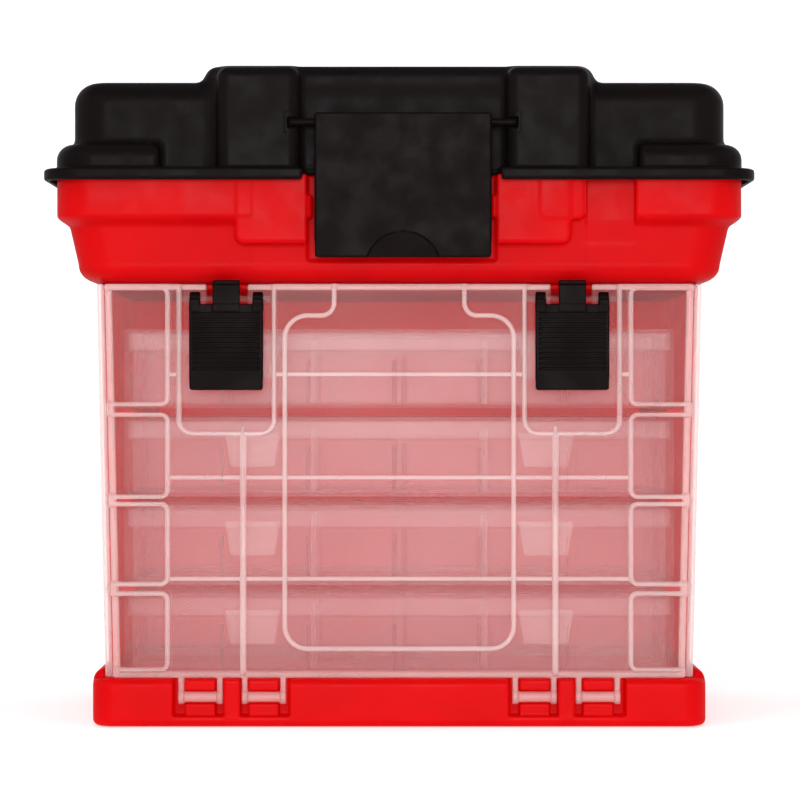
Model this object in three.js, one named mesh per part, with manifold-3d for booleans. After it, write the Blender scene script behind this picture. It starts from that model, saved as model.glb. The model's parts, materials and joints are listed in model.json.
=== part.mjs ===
// Fishing tackle box: a red rack with four clear organiser boxes behind a drop-down clear door,
// an open red bin on top of it, and a black lid with a fold-flat carry handle.
// Millimetres, +Z up, front towards -Y, origin at the middle of the underside.

import * as THREE from 'three';
import { mergeVertices } from 'three/addons/utils/BufferGeometryUtils.js';
import Module from 'manifold-3d';

const wasm = await Module();
wasm.setup();

// ---- driving dimensions ----
const OVERALL_WIDTH = 280;
const OVERALL_DEPTH = 180;
const OVERALL_HEIGHT = 260;
const WALL = 2.4;
const GAP = 0.3;
const BIG = 400;
const CORNER_STEPS = 3;
const ROUND_SIDES = 12;

const BASE = { half: 121, front: -81.5, back: 74, deck: 18.5, cheekTop: 22, corner: 9, wall: 2.5 };
const HOUSING = { front: -70, back: 70.4, bottom: 18.8, top: 174.3, halfLow: 116, halfHigh: 119.5 };
const REBATE = { depth: 2.5, length: 7 };
const BIN = { bottom: 174.6, curveTop: 182, bandStart: 196, bandFull: 201, top: 216.9 };
const BIN_HALF = { neck: 117.5, low: 127.3, high: 130.4, band: 135.3 };
const BIN_FRONT = { neck: -69, low: -77.6, high: -79.2, band: -84.5 };
const BIN_BACK = { neck: 69, low: 72.6, high: 74.2, band: 79.2 };
const LATCH_BAY = { centre: 1, half: 37.2, back: -76, bottom: 183 };
const FRONT_CENTRE = 1.5;
const RIM = { bottom: 217.2, top: 219.1, lipBottom: 214.4, back: 84.5, lip: 2.2 };
const LID_TIER = { half: 135.5, inner: 94, front: -86, back: 80, top: 229, edge: 6 };
const LID_SHOULDER = { half: 129, front: -78, back: 76, top: 254, edge: 9 };
const LID_CENTRE = { half: 77, front: -78, back: 64, edge: 6 };
const PILLAR = { inner: 40.5, outer: 73, front: -86, top: 259 };
const LID_AXIS = { y: 86, z: 213, radius: 4 };
const LID_HINGE_X = 70;
const LID_KNUCKLE = 10;
const BIN_LUGS = [[10.3, 18.3], [-18.3, -10.3]];
const PIN_RADIUS = { lid: 2, handle: 1.6, latch: 1.5 };
const HOLE_RADIUS = { lid: 2.5, handle: 2, lidForHandle: 2.5, latch: 1.95, pillar: 2 };
const HANDLE = { y: 0, z: 252, reach: 42, outer: 62, arm: 9, grip: 13, thick: 12 };
const WELL = { half: 66, front: -52, back: 9, floor: 243.4 };
const PLATE = { half: 34.4, bottom: 184, top: 240.5, front: -89.5, thick: 2.6 };
const PLATE_AXIS = { y: -85.5, z: 237 };
const DOOR = { front: -79.2, flange: -70.4, lipBack: -63.5, bottom: 19, top: 174, thick: 2.2 };
const DOOR_AXIS = { y: -77.5, z: 11.5 };
const DOOR_LUGS = [[45.7, 60.8], [70.6, 85.8]];
const LUG_THICK = 2.3;
const PAD = { inner: 92.1, outer: 120, depth: 3 };
const PAD_ROWS = [[23, 51.2], [56.7, 86.4], [91.1, 121.6], [127.5, 171.5]];
const PILL_HEIGHTS = [54, 88.8, 124.6];
const PILL = { outer: 115.6, half: 2.9 };
const RIB_HEIGHTS = [57.9, 97.8, 138.4];
const RIB = { depth: 1, thick: 1.7 };
const SPINE = { inner: 60.5, outer: 62.3, top: 118 };
const POCKET = { x: 68, half: 17.8, bottom: 116, floor: -73.5, window: 8.2, windowLow: 157 };
const SIDE_LATCH = { half: 14.4, bottom: 132.2, top: 166, front: -81.2, back: -78.6 };
const LATCH_BAR = { y: -77.4, z: 168, radius: 1.3 };
const BOTTLE = { neck: 25.6, body: 45, shoulder: 161.5, bottom: 30.5, line: 1.8, proud: 0.9 };
const BOX = { half: 110, front: -61, back: 66, height: 31.5, first: 19.2, pitch: 35.3, wall: 1.5 };
const BOX_LID = { skirt: 8.5, thick: 1.5 };
const BOX_COUNT = 4;
const SLOT_X = [-69, -34.5, 0, 34.5, 69];
const BACK_SLOT_X = [-69, 0, 69];
const SLOT = { rib: 1.2, depth: 1.2, spacing: 3, top: 19.5 };
const CLASP = { x: 58.5, halfTop: 11, halfBottom: 8.8, thick: 1.6, top: 25.4, bottom: 11.9 };

// ---- materials ----
const black = (name) => new THREE.MeshStandardMaterial({ name, color: 0x1f1b1b, roughness: 0.55 });
const red = (name) => new THREE.MeshStandardMaterial({ name, color: 0xd3161c, roughness: 0.42 });
const clear = (name, opacity) => new THREE.MeshStandardMaterial({
  name, color: 0xf4eeee, roughness: 0.25, transparent: true, opacity,
});
const steel = (name) => new THREE.MeshStandardMaterial({
  name, color: 0x8d9094, roughness: 0.3, metalness: 1,
});

// ---- helpers ----
function solid(geometry) {
  const bare = geometry.index ? geometry.toNonIndexed() : geometry.clone();
  for (const key of Object.keys(bare.attributes)) {
    if (key !== 'position') bare.deleteAttribute(key);
  }
  const merged = mergeVertices(bare, 1e-4);
  return new wasm.Manifold(new wasm.Mesh({
    numProp: 3,
    vertProperties: new Float32Array(merged.attributes.position.array),
    triVerts: new Uint32Array(merged.index.array),
  }));
}

function block(x0, x1, y0, y1, z0, z1) {
  const geometry = new THREE.BoxGeometry(x1 - x0, y1 - y0, z1 - z0);
  geometry.translate((x0 + x1) / 2, (y0 + y1) / 2, (z0 + z1) / 2);
  return solid(geometry);
}

function roundedRect(x0, x1, y0, y1, radius) {
  const shape = new THREE.Shape();
  const r = Math.max(radius, 0.01);
  shape.moveTo(x0 + r, y0);
  shape.lineTo(x1 - r, y0);
  shape.absarc(x1 - r, y0 + r, r, -Math.PI / 2, 0);
  shape.lineTo(x1, y1 - r);
  shape.absarc(x1 - r, y1 - r, r, 0, Math.PI / 2);
  shape.lineTo(x0 + r, y1);
  shape.absarc(x0 + r, y1 - r, r, Math.PI / 2, Math.PI);
  shape.lineTo(x0, y0 + r);
  shape.absarc(x0 + r, y0 + r, r, Math.PI, Math.PI * 1.5);
  return shape;
}

function polygon(points) {
  return new THREE.Shape(points.map(([x, y]) => new THREE.Vector2(x, y)));
}

function extrude(shape, depth) {
  return new THREE.ExtrudeGeometry(shape, { depth, bevelEnabled: false, curveSegments: CORNER_STEPS });
}

// An outline drawn in plan (x, y), standing from z0 to z1.
function planPrism(shape, z0, z1) {
  return solid(extrude(shape, z1 - z0).translate(0, 0, z0));
}

// An outline drawn from the front (x, z), running from yFront back to yBack.
function frontPrism(shape, yFront, yBack) {
  const geometry = extrude(shape, yBack - yFront);
  geometry.rotateX(Math.PI / 2);
  return solid(geometry.translate(0, yBack, 0));
}

// An outline drawn from the side (y, z), running from x0 to x1.
const SIDE_VIEW = new THREE.Matrix4().set(0, 0, 1, 0, 1, 0, 0, 0, 0, 1, 0, 0, 0, 0, 0, 1);
function sidePrism(shape, x0, x1) {
  return solid(extrude(shape, x1 - x0).applyMatrix4(SIDE_VIEW).translate(x0, 0, 0));
}

// A rounded block whose top edge is rounded too; what lies under z0 is cut away.
function pillow(x0, x1, y0, y1, z0, z1, corner, edge, steps = CORNER_STEPS) {
  const inner = roundedRect(x0 + edge, x1 - edge, y0 + edge, y1 - edge, Math.max(corner - edge, 0.5));
  const geometry = new THREE.ExtrudeGeometry(inner, {
    depth: z1 - z0, bevelEnabled: true, bevelThickness: edge, bevelSize: edge,
    bevelSegments: steps, curveSegments: steps,
  });
  const whole = solid(geometry.translate(0, 0, z0 - edge));
  return whole.subtract(block(-BIG, BIG, -BIG, BIG, z0 - BIG, z0));
}

// A round bar along X.
function barX(x0, x1, y, z, radius, sides = ROUND_SIDES) {
  const geometry = new THREE.CylinderGeometry(radius, radius, x1 - x0, sides);
  geometry.rotateZ(Math.PI / 2);
  return solid(geometry.translate((x0 + x1) / 2, y, z));
}

function union(parts) {
  return parts.reduce((whole, piece) => whole.add(piece));
}

function mirrored(piece) {
  return piece.mirror([1, 0, 0]);
}

function bothSides(piece) {
  return piece.add(mirrored(piece));
}

function mesh(name, body, material) {
  const data = body.getMesh();
  const geometry = new THREE.BufferGeometry();
  geometry.setAttribute('position', new THREE.BufferAttribute(new Float32Array(data.vertProperties), 3));
  geometry.setIndex(new THREE.BufferAttribute(new Uint32Array(data.triVerts), 1));
  geometry.computeVertexNormals();
  const made = new THREE.Mesh(geometry, material);
  made.name = name;
  return made;
}

// ---- base: an upturned tray with claws that hold the door's hinge bars ----
function makeBase() {
  const { half, front, back, deck, cheekTop, corner, wall } = BASE;
  const cheekInner = HOUSING.halfLow + 0.8;
  const cheekFront = HOUSING.front - 1;
  const edge = 3;
  const sideOutline = new THREE.Shape();
  sideOutline.moveTo(front, 0);
  sideOutline.lineTo(back, 0);
  sideOutline.lineTo(back, cheekTop);
  sideOutline.lineTo(cheekFront, cheekTop);
  sideOutline.lineTo(cheekFront, deck);
  sideOutline.lineTo(front + edge, deck);
  sideOutline.absarc(front + edge, deck - edge, edge, Math.PI / 2, Math.PI);
  const envelope = sidePrism(sideOutline, -half, half)
    .intersect(pillow(-half, half, front, back, 0, cheekTop, corner, edge + 1.2));
  const notch = { inner: 43, outer: 89, back: -73, bottom: 4 };
  const claw = { overlap: 0.5, bore: 2.75, mouth: 2.7 };
  const clawOutline = new THREE.Shape();
  clawOutline.moveTo(front, deck);
  clawOutline.lineTo(front, DOOR_AXIS.z + claw.mouth);
  clawOutline.lineTo(DOOR_AXIS.y, DOOR_AXIS.z + claw.mouth);
  clawOutline.absarc(DOOR_AXIS.y, DOOR_AXIS.z, claw.bore, Math.PI / 2, -Math.PI / 2, true);
  clawOutline.lineTo(front + 2, DOOR_AXIS.z - claw.mouth);
  clawOutline.lineTo(front + 2, notch.bottom - claw.overlap);
  clawOutline.lineTo(notch.back + claw.overlap, notch.bottom - claw.overlap);
  clawOutline.lineTo(notch.back + claw.overlap, deck);
  const clearance = LUG_THICK / 2 + 0.6;
  const claws = DOOR_LUGS.map(([a, b]) => bothSides(sidePrism(clawOutline, a + clearance, b - clearance)));
  const filler = bothSides(block(
    DOOR_LUGS[0][1] + clearance, DOOR_LUGS[1][0] - clearance,
    front, notch.back + claw.overlap, notch.bottom - claw.overlap, deck,
  ));
  let body = envelope.subtract(block(-cheekInner, cheekInner, -BIG, HOUSING.back + 0.6, deck, BIG));
  body = body.subtract(bothSides(block(notch.inner, notch.outer, -BIG, notch.back, notch.bottom, BIG)));
  body = body.add(union([...claws, filler]).intersect(envelope));
  const rib = { half: 3, drop: 4 };
  const under = deck - wall;
  const hollowFront = notch.back + WALL;
  const middle = (hollowFront + back - wall) / 2;
  const hollow = planPrism(roundedRect(rib.half, half - wall, hollowFront, back - wall, 4), -1, under);
  const crossRib = block(0, half, middle - rib.half / 2, middle + rib.half / 2, under - rib.drop, deck);
  return mesh('base', body.subtract(bothSides(hollow.subtract(crossRib))), red('base'));
}

// ---- rack housing: side walls, back and top deck, with ledges for the organiser boxes ----
function housingOutline(inset) {
  const { halfLow, halfHigh, bottom, top } = HOUSING;
  return polygon([
    [-halfLow + inset, bottom], [halfLow - inset, bottom],
    [halfHigh - inset, top], [-halfHigh + inset, top],
  ]);
}

function makeHousing() {
  const { front, back, bottom, top } = HOUSING;
  const seat = front + REBATE.length;
  const outer = frontPrism(housingOutline(REBATE.depth), front, back)
    .add(frontPrism(housingOutline(0), seat, back));
  const deckFront = front + 3;
  const behindRebate = seat + WALL;
  const cavity = frontPrism(housingOutline(REBATE.depth + WALL), front - 1, back - WALL)
    .add(frontPrism(housingOutline(WALL), behindRebate, back - WALL))
    .subtract(block(-BIG, BIG, deckFront, BIG, top - WALL, BIG));
  const openBelow = block(-BIG, BIG, front - 1, back - WALL, bottom - 1, bottom + 1)
    .intersect(frontPrism(housingOutline(REBATE.depth + WALL), front - 1, back - WALL));
  const ledge = { inner: 106, thick: 2.2, drop: 0.4, front: behindRebate - WALL, back: back - 1 };
  const ledges = [];
  for (let i = 1; i < BOX_COUNT; i += 1) {
    const height = BOX.first + i * BOX.pitch - ledge.drop;
    const half = HOUSING.halfLow + (HOUSING.halfHigh - HOUSING.halfLow)
      * ((height - bottom) / (top - bottom)) - 1;
    ledges.push(bothSides(block(ledge.inner, half, ledge.front, ledge.back, height - ledge.thick, height)));
  }
  const body = outer.subtract(cavity).subtract(openBelow).add(union(ledges));
  return mesh('rack_housing', body, red('housing'));
}

// ---- upper bin ----
// A stack of rounded-rectangle rings, each given as [half width, front, back, height, corner].
function stack(rings) {
  const perCorner = CORNER_STEPS + 1;
  const positions = [];
  for (const [half, front, back, z, corner] of rings) {
    const centres = [
      [half - corner, back - corner, 0], [-half + corner, back - corner, 1],
      [-half + corner, front + corner, 2], [half - corner, front + corner, 3],
    ];
    for (const [cx, cy, quarter] of centres) {
      for (let i = 0; i < perCorner; i += 1) {
        const angle = (quarter + i / CORNER_STEPS) * (Math.PI / 2);
        positions.push(cx + corner * Math.cos(angle), cy + corner * Math.sin(angle), z);
      }
    }
  }
  const count = perCorner * 4;
  const triangles = [];
  for (let r = 0; r + 1 < rings.length; r += 1) {
    for (let i = 0; i < count; i += 1) {
      const a = r * count + i;
      const b = r * count + ((i + 1) % count);
      triangles.push(a, b, b + count, a, b + count, a + count);
    }
  }
  const lastRing = (rings.length - 1) * count;
  for (let i = 1; i + 1 < count; i += 1) {
    triangles.push(0, i + 1, i);
    triangles.push(lastRing, lastRing + i, lastRing + i + 1);
  }
  const geometry = new THREE.BufferGeometry();
  geometry.setAttribute('position', new THREE.Float32BufferAttribute(positions, 3));
  geometry.setIndex(triangles);
  return solid(geometry);
}

function binRings(inset, floor, lid) {
  const { neck, low, high, band } = BIN_HALF;
  const levels = [
    [neck, BIN_FRONT.neck, BIN_BACK.neck, BIN.bottom + floor],
    [neck + (low - neck) * 0.6, BIN_FRONT.neck - 6, BIN_BACK.neck + 2.2, BIN.bottom + 2 + floor],
    [low, BIN_FRONT.low, BIN_BACK.low, BIN.curveTop + floor / 2],
    [high, BIN_FRONT.high, BIN_BACK.high, BIN.bandStart + floor],
    [band, BIN_FRONT.band, BIN_BACK.band, BIN.bandFull + floor],
    [band, BIN_FRONT.band, BIN_BACK.band, BIN.top + lid],
  ];
  const corner = 14;
  return levels.map(([half, front, back, z]) => [
    half - inset, front + inset, back - inset, z, corner - inset,
  ]);
}

function makeBin() {
  const stepBack = BIN_FRONT.high;
  const bandLow = 199.2;
  const boss = { bottom: 189.6, left: -64.3, right: 67 };
  const plain = { left: 72.9, right: 92.9 };
  const bay = { left: LATCH_BAY.centre - LATCH_BAY.half, right: LATCH_BAY.centre + LATCH_BAY.half };
  const outer = stack(binRings(0, 0, 0));
  const inner = stack(binRings(WALL, WALL, 1));
  const bosses = union([
    block(boss.left, bay.left, BIN_FRONT.band, stepBack + 1, boss.bottom, BIN.top),
    block(bay.right, boss.right, BIN_FRONT.band, stepBack + 1, boss.bottom, BIN.top),
    block(boss.right, plain.left, BIN_FRONT.band, stepBack + 1, bandLow, BIN.top),
  ]);
  const plainCut = block(plain.left, plain.right, -BIG, stepBack, BIN.bandStart - 1, BIG);
  const bayCut = block(bay.left, bay.right, -BIG, LATCH_BAY.back, LATCH_BAY.bottom, BIG);
  const plainBacking = block(
    plain.left - WALL, plain.right + WALL, -BIG, stepBack + WALL, BIN.bandStart - 1 - WALL, BIG,
  );
  const bayBacking = block(
    bay.left - WALL, bay.right + WALL, -BIG, LATCH_BAY.back + WALL, LATCH_BAY.bottom - WALL, BIG,
  );
  const cavity = inner.subtract(plainBacking).subtract(bayBacking);
  const keeperHalf = 18;
  const keeper = block(
    FRONT_CENTRE - keeperHalf, FRONT_CENTRE + keeperHalf, PLATE.front + PLATE.thick + 2.9,
    LATCH_BAY.back + 1, 201, 205.5,
  );
  const stop = block(LATCH_BAY.half - 1.8, LATCH_BAY.half + 0.5, -83.8, LATCH_BAY.back + 1, 200, 208.5);
  const stops = bothSides(stop).translate([LATCH_BAY.centre, 0, 0]);
  const lugOutline = new THREE.Shape();
  lugOutline.moveTo(BIN_BACK.band - 1, 203);
  lugOutline.lineTo(LID_AXIS.y, LID_AXIS.z - LID_AXIS.radius);
  lugOutline.absarc(LID_AXIS.y, LID_AXIS.z, LID_AXIS.radius, -Math.PI / 2, Math.PI / 2 - 0.25);
  lugOutline.lineTo(LID_AXIS.y - 1, BIN.top);
  lugOutline.lineTo(BIN_BACK.band - 1, BIN.top);
  const lugs = [];
  for (const [a, b] of BIN_LUGS) {
    lugs.push(bothSides(sidePrism(lugOutline, LID_HINGE_X + a, LID_HINGE_X + b)));
  }
  const pinHole = bothSides(
    barX(LID_HINGE_X - 20, LID_HINGE_X + 20, LID_AXIS.y, LID_AXIS.z, HOLE_RADIUS.lid),
  );
  let body = outer.add(bosses).subtract(plainCut).subtract(bayCut).subtract(cavity);
  body = body.add(union([keeper, stops, ...lugs])).subtract(pinHole);
  return mesh('upper_bin', body, red('bin'));
}

// ---- lid ----
function makeLid() {
  const half = OVERALL_WIDTH / 2;
  const rimFront = -OVERALL_DEPTH / 2;
  const rim = planPrism(roundedRect(-half, half, rimFront, RIM.back, 15), RIM.lipBottom, RIM.top);
  const channel = planPrism(
    roundedRect(-half + RIM.lip, half - RIM.lip, rimFront + RIM.lip, RIM.back - RIM.lip, 13),
    RIM.lipBottom - 1, RIM.bottom,
  );
  const forms = (inset) => {
    const start = RIM.bottom;
    const steps = inset > 0 ? 2 : CORNER_STEPS;
    const tier = pillow(
      -LID_TIER.half + inset, LID_TIER.half - inset, LID_TIER.front + inset, LID_TIER.back - inset,
      start, LID_TIER.top - inset, 16, LID_TIER.edge, steps,
    );
    const cut = LID_TIER.inner + inset;
    const middle = block(-cut, cut, -BIG, BIG, 0, BIG);
    const shoulder = pillow(
      -LID_SHOULDER.half + inset, LID_SHOULDER.half - inset, LID_SHOULDER.front + inset,
      LID_SHOULDER.back - inset, start, LID_SHOULDER.top - inset, 14, LID_SHOULDER.edge, steps,
    );
    const centre = pillow(
      -LID_CENTRE.half + inset, LID_CENTRE.half - inset, LID_CENTRE.front + inset,
      LID_CENTRE.back - inset, start, OVERALL_HEIGHT - inset, 8, LID_CENTRE.edge, steps,
    );
    const pillar = pillow(
      PILLAR.inner + inset, PILLAR.outer - inset, PILLAR.front + inset, LID_CENTRE.front + 12,
      start, PILLAR.top - inset, 5, 4, steps,
    );
    const pillars = bothSides(pillar).translate([FRONT_CENTRE, 0, 0]);
    return union([tier.subtract(middle), shoulder, centre, pillars]);
  };
  const outer = forms(0).add(rim.subtract(channel));
  const inner = forms(WALL);
  const well = (grow) => planPrism(
    roundedRect(-WELL.half - grow, WELL.half + grow, WELL.front - grow, WELL.back + grow, 5 + grow),
    WELL.floor - grow, grow > 0 ? OVERALL_HEIGHT - 1 : OVERALL_HEIGHT + 1,
  );
  const gateHalf = LATCH_BAY.half + 1.3;
  const latchGate = block(-gateHalf, gateHalf, -BIG, -79.5, 0, RIM.top + 0.01)
    .translate([LATCH_BAY.centre, 0, 0]);
  let body = outer.subtract(inner).add(well(WALL)).subtract(well(0)).subtract(latchGate);
  const lugRoom = bothSides(block(LID_HINGE_X - 19, LID_HINGE_X + 19, BIN_BACK.band, BIG, 0, RIM.bottom));
  body = body.subtract(lugRoom);
  const { y, z, radius } = LID_AXIS;
  const knuckleOutline = new THREE.Shape();
  knuckleOutline.moveTo(y - radius, z);
  knuckleOutline.absarc(y, z, radius, Math.PI, Math.PI * 2);
  knuckleOutline.lineTo(y + radius, RIM.top - 1);
  knuckleOutline.lineTo(y + radius - 1, RIM.top);
  knuckleOutline.lineTo(y - 5, RIM.top);
  knuckleOutline.lineTo(y - 5, RIM.bottom + 0.3);
  knuckleOutline.lineTo(y - radius, RIM.bottom - 0.5);
  const knuckle = bothSides(
    sidePrism(knuckleOutline, LID_HINGE_X - LID_KNUCKLE, LID_HINGE_X + LID_KNUCKLE),
  );
  const holeHalf = LID_KNUCKLE + 2;
  const pinHole = bothSides(
    barX(LID_HINGE_X - holeHalf, LID_HINGE_X + holeHalf, y, z, HOLE_RADIUS.lid),
  );
  const pillarReach = PILLAR.inner + 4.5;
  const latchPinHole = barX(-pillarReach, pillarReach, PLATE_AXIS.y, PLATE_AXIS.z, HOLE_RADIUS.pillar)
    .translate([FRONT_CENTRE, 0, 0]);
  const pillarPlug = bothSides(
    barX(PILLAR.inner + 0.5, PILLAR.inner + 5.5, PLATE_AXIS.y + 2.7, PLATE_AXIS.z, 5),
  ).translate([FRONT_CENTRE, 0, 0]).intersect(forms(0));
  const handleHole = bothSides(
    barX(HANDLE.outer - 1, HANDLE.outer + 9.5, HANDLE.y, HANDLE.z, HOLE_RADIUS.lidForHandle),
  );
  const handlePlug = bothSides(block(WELL.half + 1, WELL.half + 6, HANDLE.y - 5, HANDLE.y + 5, 246, 257.5));
  body = body.add(knuckle).subtract(pinHole).add(pillarPlug).subtract(latchPinHole);
  return mesh('lid', body.add(handlePlug).subtract(handleHole), black('lid'));
}

// ---- main latch: a broad plate that hangs over the join of lid and bin ----
function makeMainLatch() {
  const { half, bottom, top, front, thick } = PLATE;
  const plate = frontPrism(roundedRect(-half, half, bottom, top, 0.8), front, front + thick);
  const scoop = new THREE.Shape();
  scoop.absarc(0, bottom - 5, 15, Math.PI, 0, true);
  const scoopCut = frontPrism(scoop, front - 1, front + 1.2);
  const cheek = bothSides(block(half - 2.2, half, front + 0.5, -83.5, 190, top - 0.5));
  const ear = bothSides(sidePrism(roundedRect(-88.5, -82, 233, 240.3, 2.5), half - 2.2, half));
  const hookHalf = 17;
  const hook = block(-hookHalf, hookHalf, front + thick - 0.5, front + thick + 2.4, 195.5, 198.5);
  const stiffener = block(-hookHalf, hookHalf, front + thick - 0.5, front + thick + 1.6, 209, 210.6);
  const hole = barX(-BIG, BIG, PLATE_AXIS.y, PLATE_AXIS.z, HOLE_RADIUS.latch);
  const body = union([plate.subtract(scoopCut), cheek, ear, hook, stiffener]).subtract(hole);
  return mesh('main_latch', body.translate([FRONT_CENTRE, 0, 0]), black('main_latch'));
}

// ---- carry handle: a bail that folds forward into the well in the lid ----
function makeHandle() {
  const { y, z, reach, outer, arm, grip, thick } = HANDLE;
  const low = z - thick / 2;
  const high = z + thick / 2;
  const frontEdge = y - reach - grip / 2;
  const outerForm = planPrism(roundedRect(-outer, outer, frontEdge, y + 6, 6), low, high);
  const innerForm = planPrism(
    roundedRect(-outer + arm, outer - arm, y - reach + grip / 2, y + 20, 4), low - 1, high + 1,
  );
  const hole = barX(-BIG, BIG, y, z, HOLE_RADIUS.handle);
  return mesh('carry_handle', outerForm.subtract(innerForm).subtract(hole), black('handle'));
}

// ---- door ----
function doorOutline(inset) {
  const share = (z) => (z - HOUSING.bottom) / (HOUSING.top - HOUSING.bottom);
  const halfAt = (z) => HOUSING.halfLow + (HOUSING.halfHigh - HOUSING.halfLow) * share(z) - inset;
  const low = DOOR.bottom;
  const high = DOOR.top;
  return polygon([[-halfAt(low), low], [halfAt(low), low], [halfAt(high), high], [-halfAt(high), high]]);
}

function doorTub(inset, yFront, yBack, shrink) {
  const outline = polygon(doorOutline(inset + 3.4).getPoints().map(({ x, y }) => [
    x, y + (y < 100 ? shrink : -shrink),
  ]));
  return frontPrism(outline, yFront, yBack);
}

function bottleOutline(grow) {
  const neck = BOTTLE.neck + grow;
  const body = BOTTLE.body + grow;
  const low = BOTTLE.bottom - grow;
  const shoulder = BOTTLE.shoulder + grow;
  const big = 9 + grow;
  const small = 5 - grow;
  const top = DOOR.top + (grow > 0 ? 0 : 1);
  const shape = new THREE.Shape();
  shape.moveTo(-body + big, low);
  shape.lineTo(body - big, low);
  shape.absarc(body - big, low + big, big, -Math.PI / 2, 0);
  shape.lineTo(body, shoulder - big);
  shape.absarc(body - big, shoulder - big, big, 0, Math.PI / 2);
  shape.lineTo(neck + small, shoulder);
  shape.absarc(neck + small, shoulder + small, small, Math.PI * 1.5, Math.PI, true);
  shape.lineTo(neck, top);
  shape.lineTo(-neck, top);
  shape.lineTo(-neck, shoulder + small);
  shape.absarc(-neck - small, shoulder + small, small, 0, -Math.PI / 2, true);
  shape.lineTo(-body + big, shoulder);
  shape.absarc(-body + big, shoulder - big, big, Math.PI / 2, Math.PI);
  shape.lineTo(-body, low + big);
  shape.absarc(-body + big, low + big, big, Math.PI, Math.PI * 1.5);
  return shape;
}

function makeDoor() {
  const { front, flange, lipBack, bottom, top, thick } = DOOR;
  const panelBack = front + thick;
  const tub = doorTub(0, front, flange, 0);
  const padCuts = [];
  const padBacks = [];
  for (const [low, high] of PAD_ROWS) {
    const padShape = roundedRect(PAD.inner, PAD.outer, low, high, 1.5);
    padCuts.push(frontPrism(padShape, front - 5, front + PAD.depth));
    padBacks.push(block(
      PAD.inner - thick, PAD.outer, front, front + PAD.depth + thick, low - thick, high + thick,
    ));
  }
  const { x, half, bottom: pocketLow, floor, window: slotHalf, windowLow } = POCKET;
  const pocketShape = roundedRect(x - half, x + half, pocketLow, top + 20, 4.5);
  const pocketCut = bothSides(frontPrism(pocketShape, front - 5, floor));
  const pocketBack = bothSides(block(
    x - half - thick, x + half + thick, front, floor + thick, pocketLow - thick, BIG,
  ));
  const cavity = doorTub(thick, panelBack, flange + 5, thick)
    .subtract(bothSides(union(padBacks))).subtract(pocketBack);
  const frame = frontPrism(doorOutline(0), flange - thick, flange)
    .subtract(doorTub(thick, flange - 10, flange + 5, thick));
  const lips = frontPrism(doorOutline(0), flange - thick, lipBack)
    .subtract(frontPrism(doorOutline(thick), flange - 5, lipBack + 5));
  const sideLips = lips.subtract(block(-110, 110, -BIG, BIG, 0, BIG));
  const pills = PILL_HEIGHTS.map((height) => bothSides(
    frontPrism(
      roundedRect(PAD.inner, PILL.outer, height - PILL.half, height + PILL.half, PILL.half - 0.1),
      front, flange - 0.5,
    ),
  ));
  const ridge = frontPrism(bottleOutline(BOTTLE.line / 2), front - BOTTLE.proud, front + 1)
    .subtract(frontPrism(bottleOutline(-BOTTLE.line / 2), front - 5, front + 5));
  const ribs = RIB_HEIGHTS.map((height) => block(
    -PAD.inner, PAD.inner, panelBack - 1, panelBack + RIB.depth,
    height - RIB.thick / 2, height + RIB.thick / 2,
  ));
  ribs.push(bothSides(block(
    SPINE.inner, SPINE.outer, panelBack - 1, panelBack + RIB.depth, bottom + 1, SPINE.top,
  )));
  const lugShape = new THREE.Shape();
  const lugRadius = 2.9;
  lugShape.moveTo(front, bottom + 2);
  lugShape.lineTo(DOOR_AXIS.y - lugRadius, DOOR_AXIS.z);
  lugShape.absarc(DOOR_AXIS.y, DOOR_AXIS.z, lugRadius, Math.PI, Math.PI * 2);
  lugShape.lineTo(DOOR_AXIS.y + lugRadius, bottom + 2);
  const lugs = [];
  for (const pair of DOOR_LUGS) {
    for (const lugX of pair) {
      lugs.push(bothSides(sidePrism(lugShape, lugX - LUG_THICK / 2, lugX + LUG_THICK / 2)));
    }
    lugs.push(bothSides(barX(pair[0], pair[1], DOOR_AXIS.y, DOOR_AXIS.z, 2.1)));
  }
  const windowCut = bothSides(block(x - slotHalf, x + slotHalf, -BIG, BIG, windowLow, BIG));
  const bar = bothSides(barX(x - half - 1, x + half + 1, LATCH_BAR.y, LATCH_BAR.z, LATCH_BAR.radius));
  let body = union([tub, ...pills]).subtract(bothSides(union(padCuts))).subtract(pocketCut);
  body = body.add(union(pills)).subtract(cavity).add(frame).add(union([ridge, ...ribs, ...lugs]));
  body = body.subtract(pocketCut).subtract(windowCut);
  body = body.add(sideLips).add(bar);
  return mesh('door', body, clear('door', 0.45));
}

// ---- side latches on the door ----
function makeSideLatch(name, centre) {
  const { half, bottom, top, front, back } = SIDE_LATCH;
  const groove = { count: 6, first: 141, pitch: 3.7, deep: 0.5, high: 1.2 };
  const hookHalf = 5.3;
  const hook = polygon([
    [front, 173], [-79.5, 173], [-77.4, 174.2], [-77.4, 175.4], [-79.4, 175.4],
  ]);
  const parts = [
    frontPrism(roundedRect(-half, half, bottom, top, 1), front, back),
    bothSides(block(half - 1.8, half, front + 0.5, -75.2, bottom + 4, top - 4)),
    bothSides(sidePrism(roundedRect(-80.1, -74.8, top - 3, 170.9, 2.6), half - 4, half)),
    bothSides(block(half - 4, half, front, back, top - 1, 168)),
    block(-hookHalf, hookHalf, front, -79.5, top - 1, 173.4),
    sidePrism(hook, -hookHalf, hookHalf),
  ];
  let body = union(parts);
  for (let i = 0; i < groove.count; i += 1) {
    const z = groove.first + i * groove.pitch;
    const grooveHalf = half - 1.5;
    body = body.subtract(
      block(-grooveHalf, grooveHalf, front - 1, front + groove.deep, z, z + groove.high),
    );
  }
  body = body.subtract(barX(-BIG, BIG, LATCH_BAR.y, LATCH_BAR.z, 1.75, 16));
  return mesh(name, body.translate([centre, 0, 0]), black(name));
}

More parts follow.
